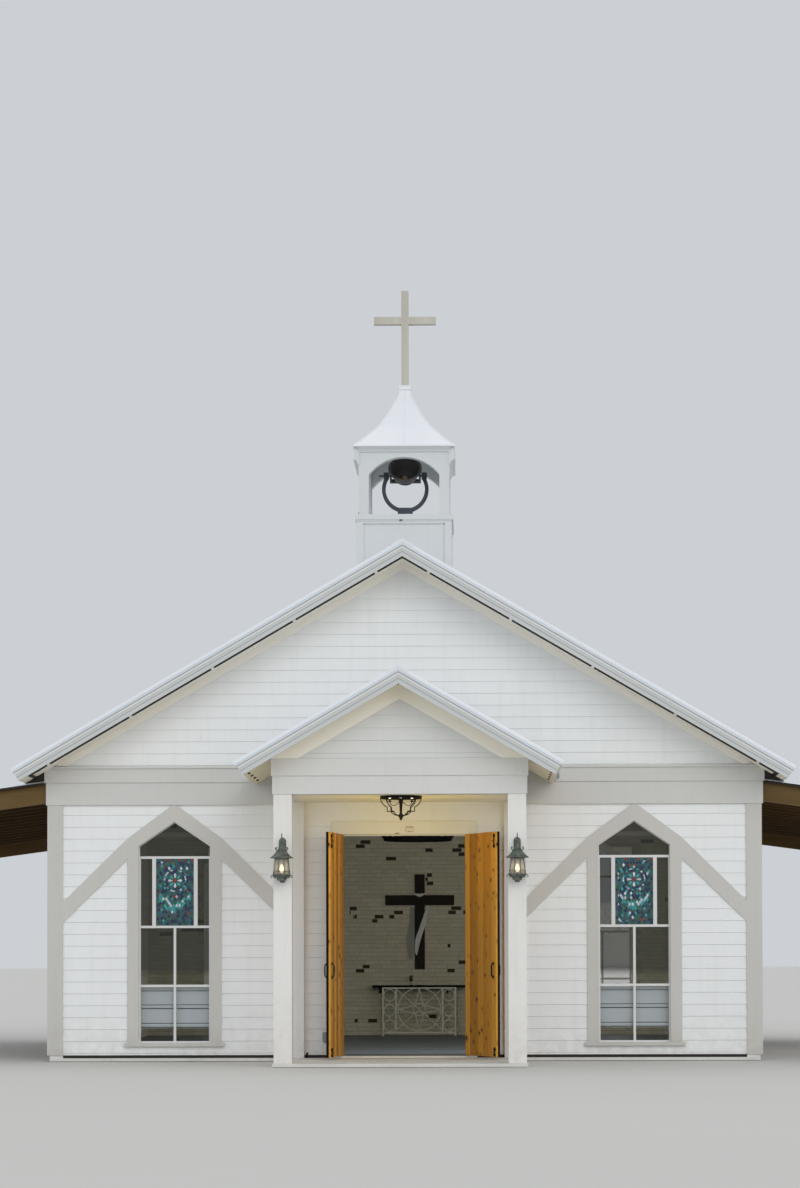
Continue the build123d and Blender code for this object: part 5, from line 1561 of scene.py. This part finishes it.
for i in range(4):
    a = math.radians(37.5 + 90 * i)
    cx, cy = 535 * math.cos(a), CHY + 535 * math.sin(a)
    ms.lathe([(0, 3187), (22, 3187), (27, 3196), (27, 3200), (21, 3202), (0, 3202)], cx, cy, 16, 0)
ms.make("chandelier_cups", [M["ironmatte"]])

# ------------------------------------------------------------------ lean-to roofs: boards under thin ribbed sheets
for side, nm in ((-1, "left"), (1, "right")):
    ms = Mesh()
    x = HALF_W + 68.0
    while x < LEAN_X + 99:
        w = min(137.0, LEAN_X + 100 - x)
        y = -4640.0 - rnd.uniform(0, 2500)
        while y < 4640:
            e = y + rnd.choice((2440.0, 3050.0, 3660.0))
            a, b = max(y, -4640.0), min(e, 4640.0)
            if b - a > 30:
                x0, x1 = x + 1.0, x + w - 1.0
                lo = [(side * x0, a + 0.8, lz(x0) + 0.3), (side * x1, a + 0.8, lz(x1) + 0.3), (side * x1, b - 0.8, lz(x1) + 0.3),
                      (side * x0, b - 0.8, lz(x0) + 0.3)]
                hi = [(p, q, r + 17.5) for p, q, r in lo]
                ms.hexa(lo, hi)
            y = e
        x += 137.0
    ob = ms.make("lean_to_boards_" + nm, [M["pineY"]])
    if side < 0:
        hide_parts("lean_to_roofs")
    ms = Mesh()
    x0, x1 = HALF_W + 68.0, LEAN_X + 100.0
    ms.hexa([(side * x0, -4640, lz(x0) + 18.5), (side * x1, -4640, lz(x1) + 18.5), (side * x1, 4640, lz(x1) + 18.5), (side * x0, 4640, lz(x0) + 18.5)],
            [(side * x0, -4640, lz(x0) + 30), (side * x1, -4640, lz(x1) + 30), (side * x1, 4640, lz(x1) + 30), (side * x0, 4640, lz(x0) + 30)], 0, 0.3)
    y = -4600.0
    while y < 4620:
        ring = []
        for xx in (x0 + 2, x1 - 2):
            ring.append([(side * xx, y - 16, lz(xx) + 29), (side * xx, y + 16, lz(xx) + 29), (side * xx, y + 8, lz(xx) + 47), (side * xx, y - 8, lz(xx) + 47)])
        ms.hexa(ring[0], ring[1], 0, 0.3)
        y += 229.0
    # dark edge trim at both ends
    for ya, yb in ((-4641.5, -4636), (4636, 4641.5)):
        ms.hexa([(side * x0, ya, lz(x0) + 2), (side * x1, ya, lz(x1) + 2), (side * x1, yb, lz(x1) + 2), (side * x0, yb, lz(x0) + 2)],
                [(side * x0, ya, lz(x0) + 30.5), (side * x1, ya, lz(x1) + 30.5), (side * x1, yb, lz(x1) + 30.5), (side * x0, yb, lz(x0) + 30.5)], 1, 0.3)
    ms.make("lean_to_sheets_" + nm, [M["roof"], M["vent"]])
    # joist hangers and post brackets
    ms = Mesh()
    for y in [-3900 + 600 * i for i in range(14)]:
        xx = LEAN_X - 152.0
        zt = lz(xx)
        a, b = sorted((side * (xx - 50), side * (xx + 1)))
        for dy in (-24.5, 22.2):
            ms.box(a, b, y + dy, y + dy + 2.3, zt - 135, zt - 30, 0)
    for y in (-4485, -1495, 1495, 4485):
        for dx in (-76.5, 74.5):
            cxp = side * (LEAN_X - 75)
            ms.box(cxp + dx, cxp + dx + 2, y - 55 if abs(y) < 4000 else y - 50, y + 55 if abs(y) < 4000 else y + 50, 2780, 3010 if dx * side > 0 else 3010, 0)
        # base plate
        ms.box(side * (LEAN_X - 75) - 74, side * (LEAN_X - 75) + 74, y - 74, y + 74, 0.5, 9, 0)
    ms.make("lean_to_brackets_" + nm, [M["vent"]])

# ------------------------------------------------------------------ small fittings
ms = Mesh()
ms.cbox(21, 118, -4631.0, -4600.2, 2926, 2989, 7, 0)
# painted shadow: the dark strip along the top front edge of the box
ms.cbox(24, 115, -4633.5, -4629.0, 2980, 2989, 1.5, 1)
ms.cbox(52, 82, -4632.5, -4629.0, 2927, 2934, 1.5, 1)
ms.cbox(-114, -62, -4613.0, -4600.2, 2900.5, 2914, 2, 1)
ms.make("door_sensor_box", [M["plastic"], M["beige"]])
# shadow lines of the ledges on the inner boards
ms = Mesh()
for m in (-WIN_X, WIN_X):
    for z0, z1 in ((893, 901), (714, 723), (665, 675), (477, 487), (424, 434)):
        ms.box(m - 436, m + 436, -4455.4, -4454.2, z0, z1, 0)
ms.make("inner_board_lines", [M["ledgeline"]])
# black closing boards in the gap between the lean-to roof and the main soffit
ms = Mesh()
for sgn in (-1, 1):
    for y0, y1 in ((-4636, -4610), (4610, 4636)):
        pts = [(4613, lz(4613) + 49), (4861, lz(4861) + 49), (4613, soffit(4613) - 2)]
        ms.prism([(sgn * px, pz) for px, pz in pts], y0, y1)
ms.make("lean_to_closers", [M["vent"]])
ms = Mesh()
ms.cbox(-1042, -984, -4632.0, -4572.0, 236, 365, 5, 0)
ms.cbox(-1046, -980, -4636.0, -4626.0, 246, 369, 3, 0)
ms.make("outlet_box", [M["greybox"]])
ms = Mesh()
ms.cbox(-1266, -1226, -4600.0, -4573.0, 41, 52, 2, 0)
ms.lathe([(0, 50), (9, 50), (9, 84), (14, 90), (14, 104), (9, 108), (0, 108)], -1246, -4586, 12, 0)
ms.make("door_floor_stop", [M["iron"]])
ms = Mesh()
# painted shade: dark strips fill the gap where the siding stops over the slab
for x0, x1 in ((-4372, -1545), (1545, 4372)):
    ms.box(x0, x1, -HALF_L - 3.0, -HALF_L + 1.0, 40.5, 78, 0)
for x0, x1 in ((-1545, -930), (930, 1545)):
    ms.box(x0, x1, -HALF_L - 3.0, -HALF_L + 1.0, 40.5, 78, 0)
ms.box(-4372, 4372, HALF_L - 1.0, HALF_L + 3.0, 2, 78, 0)
for s in (-1, 1):
    a, b = sorted((s * (HALF_W - 1), s * (HALF_W + 3)))
    ms.box(a, b, -4372, 4372, 2, 78, 0)
ms.make("base_gap_shade", [M["vent"]])

# door sill strip
ms = Mesh()
ms.cbox(-838, 838, -4572, -4440, 60.0, 66.0, 2.5, 0)
ms.make("door_sill_strip", [M["sillmetal"]])

# porch ceiling boards
ms = Mesh()
y = -6207.0
while y < -HALF_L - 5:
    w = min(108.0, -HALF_L - 0.5 - y)
    ms.cbox(-1296, 1296, y + 0.8, y + w - 0.8, 3304.5, 3311, 1.6)
    y += 108.0
ms.make("porch_ceiling_boards", [M["cream"]])

# ------------------------------------------------------------------ floor, light
fl = Mesh()
R, n = 260000.0, 96
fl.add([(0, 0, -6)] + [(R * math.cos(2 * math.pi * i / n), R * math.sin(2 * math.pi * i / n), -6) for i in range(n)],
       [(0, 1 + i, 1 + (i + 1) % n) for i in range(n)])
me = bpy.data.meshes.new("studio_floor")
me.from_pydata(fl.v, [], fl.f)
floor_m, nt, p = mat("studio_floor_paint")
nn = N(nt)
fn = nn.noise(nn.coords(), 0.12, 2.0, 0.5)
nn.link(nn.mix(fn, (0.62, 0.61, 0.58), (0.64, 0.63, 0.60)), p.inputs["Base Color"])
p.inputs["Roughness"].default_value = 0.95
p.inputs["Specular IOR Level"].default_value = 0.1
me.materials.append(floor_m)
floor = bpy.data.objects.new("studio_floor", me)
bpy.context.scene.collection.objects.link(floor)

world = bpy.data.worlds.new("studio")
bpy.context.scene.world = world
world.use_nodes = True
bg = world.node_tree.nodes["Background"]
bg.inputs["Color"].default_value = (0.86, 0.90, 0.95, 1.0)
bg.inputs["Strength"].default_value = 0.70


def lamp(kind, name, loc, target, energy, color, size):
    d = bpy.data.lights.new(name, kind)
    d.energy = energy
    d.color = color
    if kind == "AREA":
        d.shape = "RECTANGLE"
        d.size, d.size_y = size
    elif kind == "SUN":
        d.angle = math.radians(size)
    else:
        d.shadow_soft_size = size
    o = bpy.data.objects.new(name, d)
    bpy.context.scene.collection.objects.link(o)
    o.location = loc
    o.rotation_euler = (Vector(target) - Vector(loc)).to_track_quat("-Z", "Y").to_euler()
    o.visible_camera = False
    return o


lamp("SUN", "soft_front", (6.0, -14.0, 6.5), (0, 0, 0), 0.86, (1.0, 0.98, 0.945), 45)
lamp("SUN", "soft_left", (-9.0, -14.0, 3.0), (0, 0, 0), 0.34, (0.74, 0.88, 1.0), 40)
lamp("SUN", "soft_top", (-6.0, 6.0, 16.0), (0, 0, 0), 0.46, (1.0, 0.97, 0.93), 50)
lamp("AREA", "hall_light", (1.5, -4.2, 1.75), (1.8, 4.4, 1.75), 115.0, (1.0, 0.94, 0.76), (5.0, 1.2))
lamp("POINT", "porch_light", (0.0, -5.5, 2.85), (0, -5.6, 0), 4.5, (1.0, 0.72, 0.18), 0.35)
lamp("AREA", "porch_wash", (0.0, -6.1, 2.75), (0.0, -4.6, 3.35), 4.6, (1.0, 0.72, 0.10), (2.2, 0.5))
lamp("AREA", "right_walk_light", (6.0, -3.0, 2.2), (6.0, -3.0, 3.5), 9.0, (1.0, 0.80, 0.40), (1.6, 3.4))
bpy.context.scene.view_settings.view_transform = "Standard"
bpy.context.scene.view_settings.look = "None"
bpy.context.scene.view_settings.exposure = 0.0
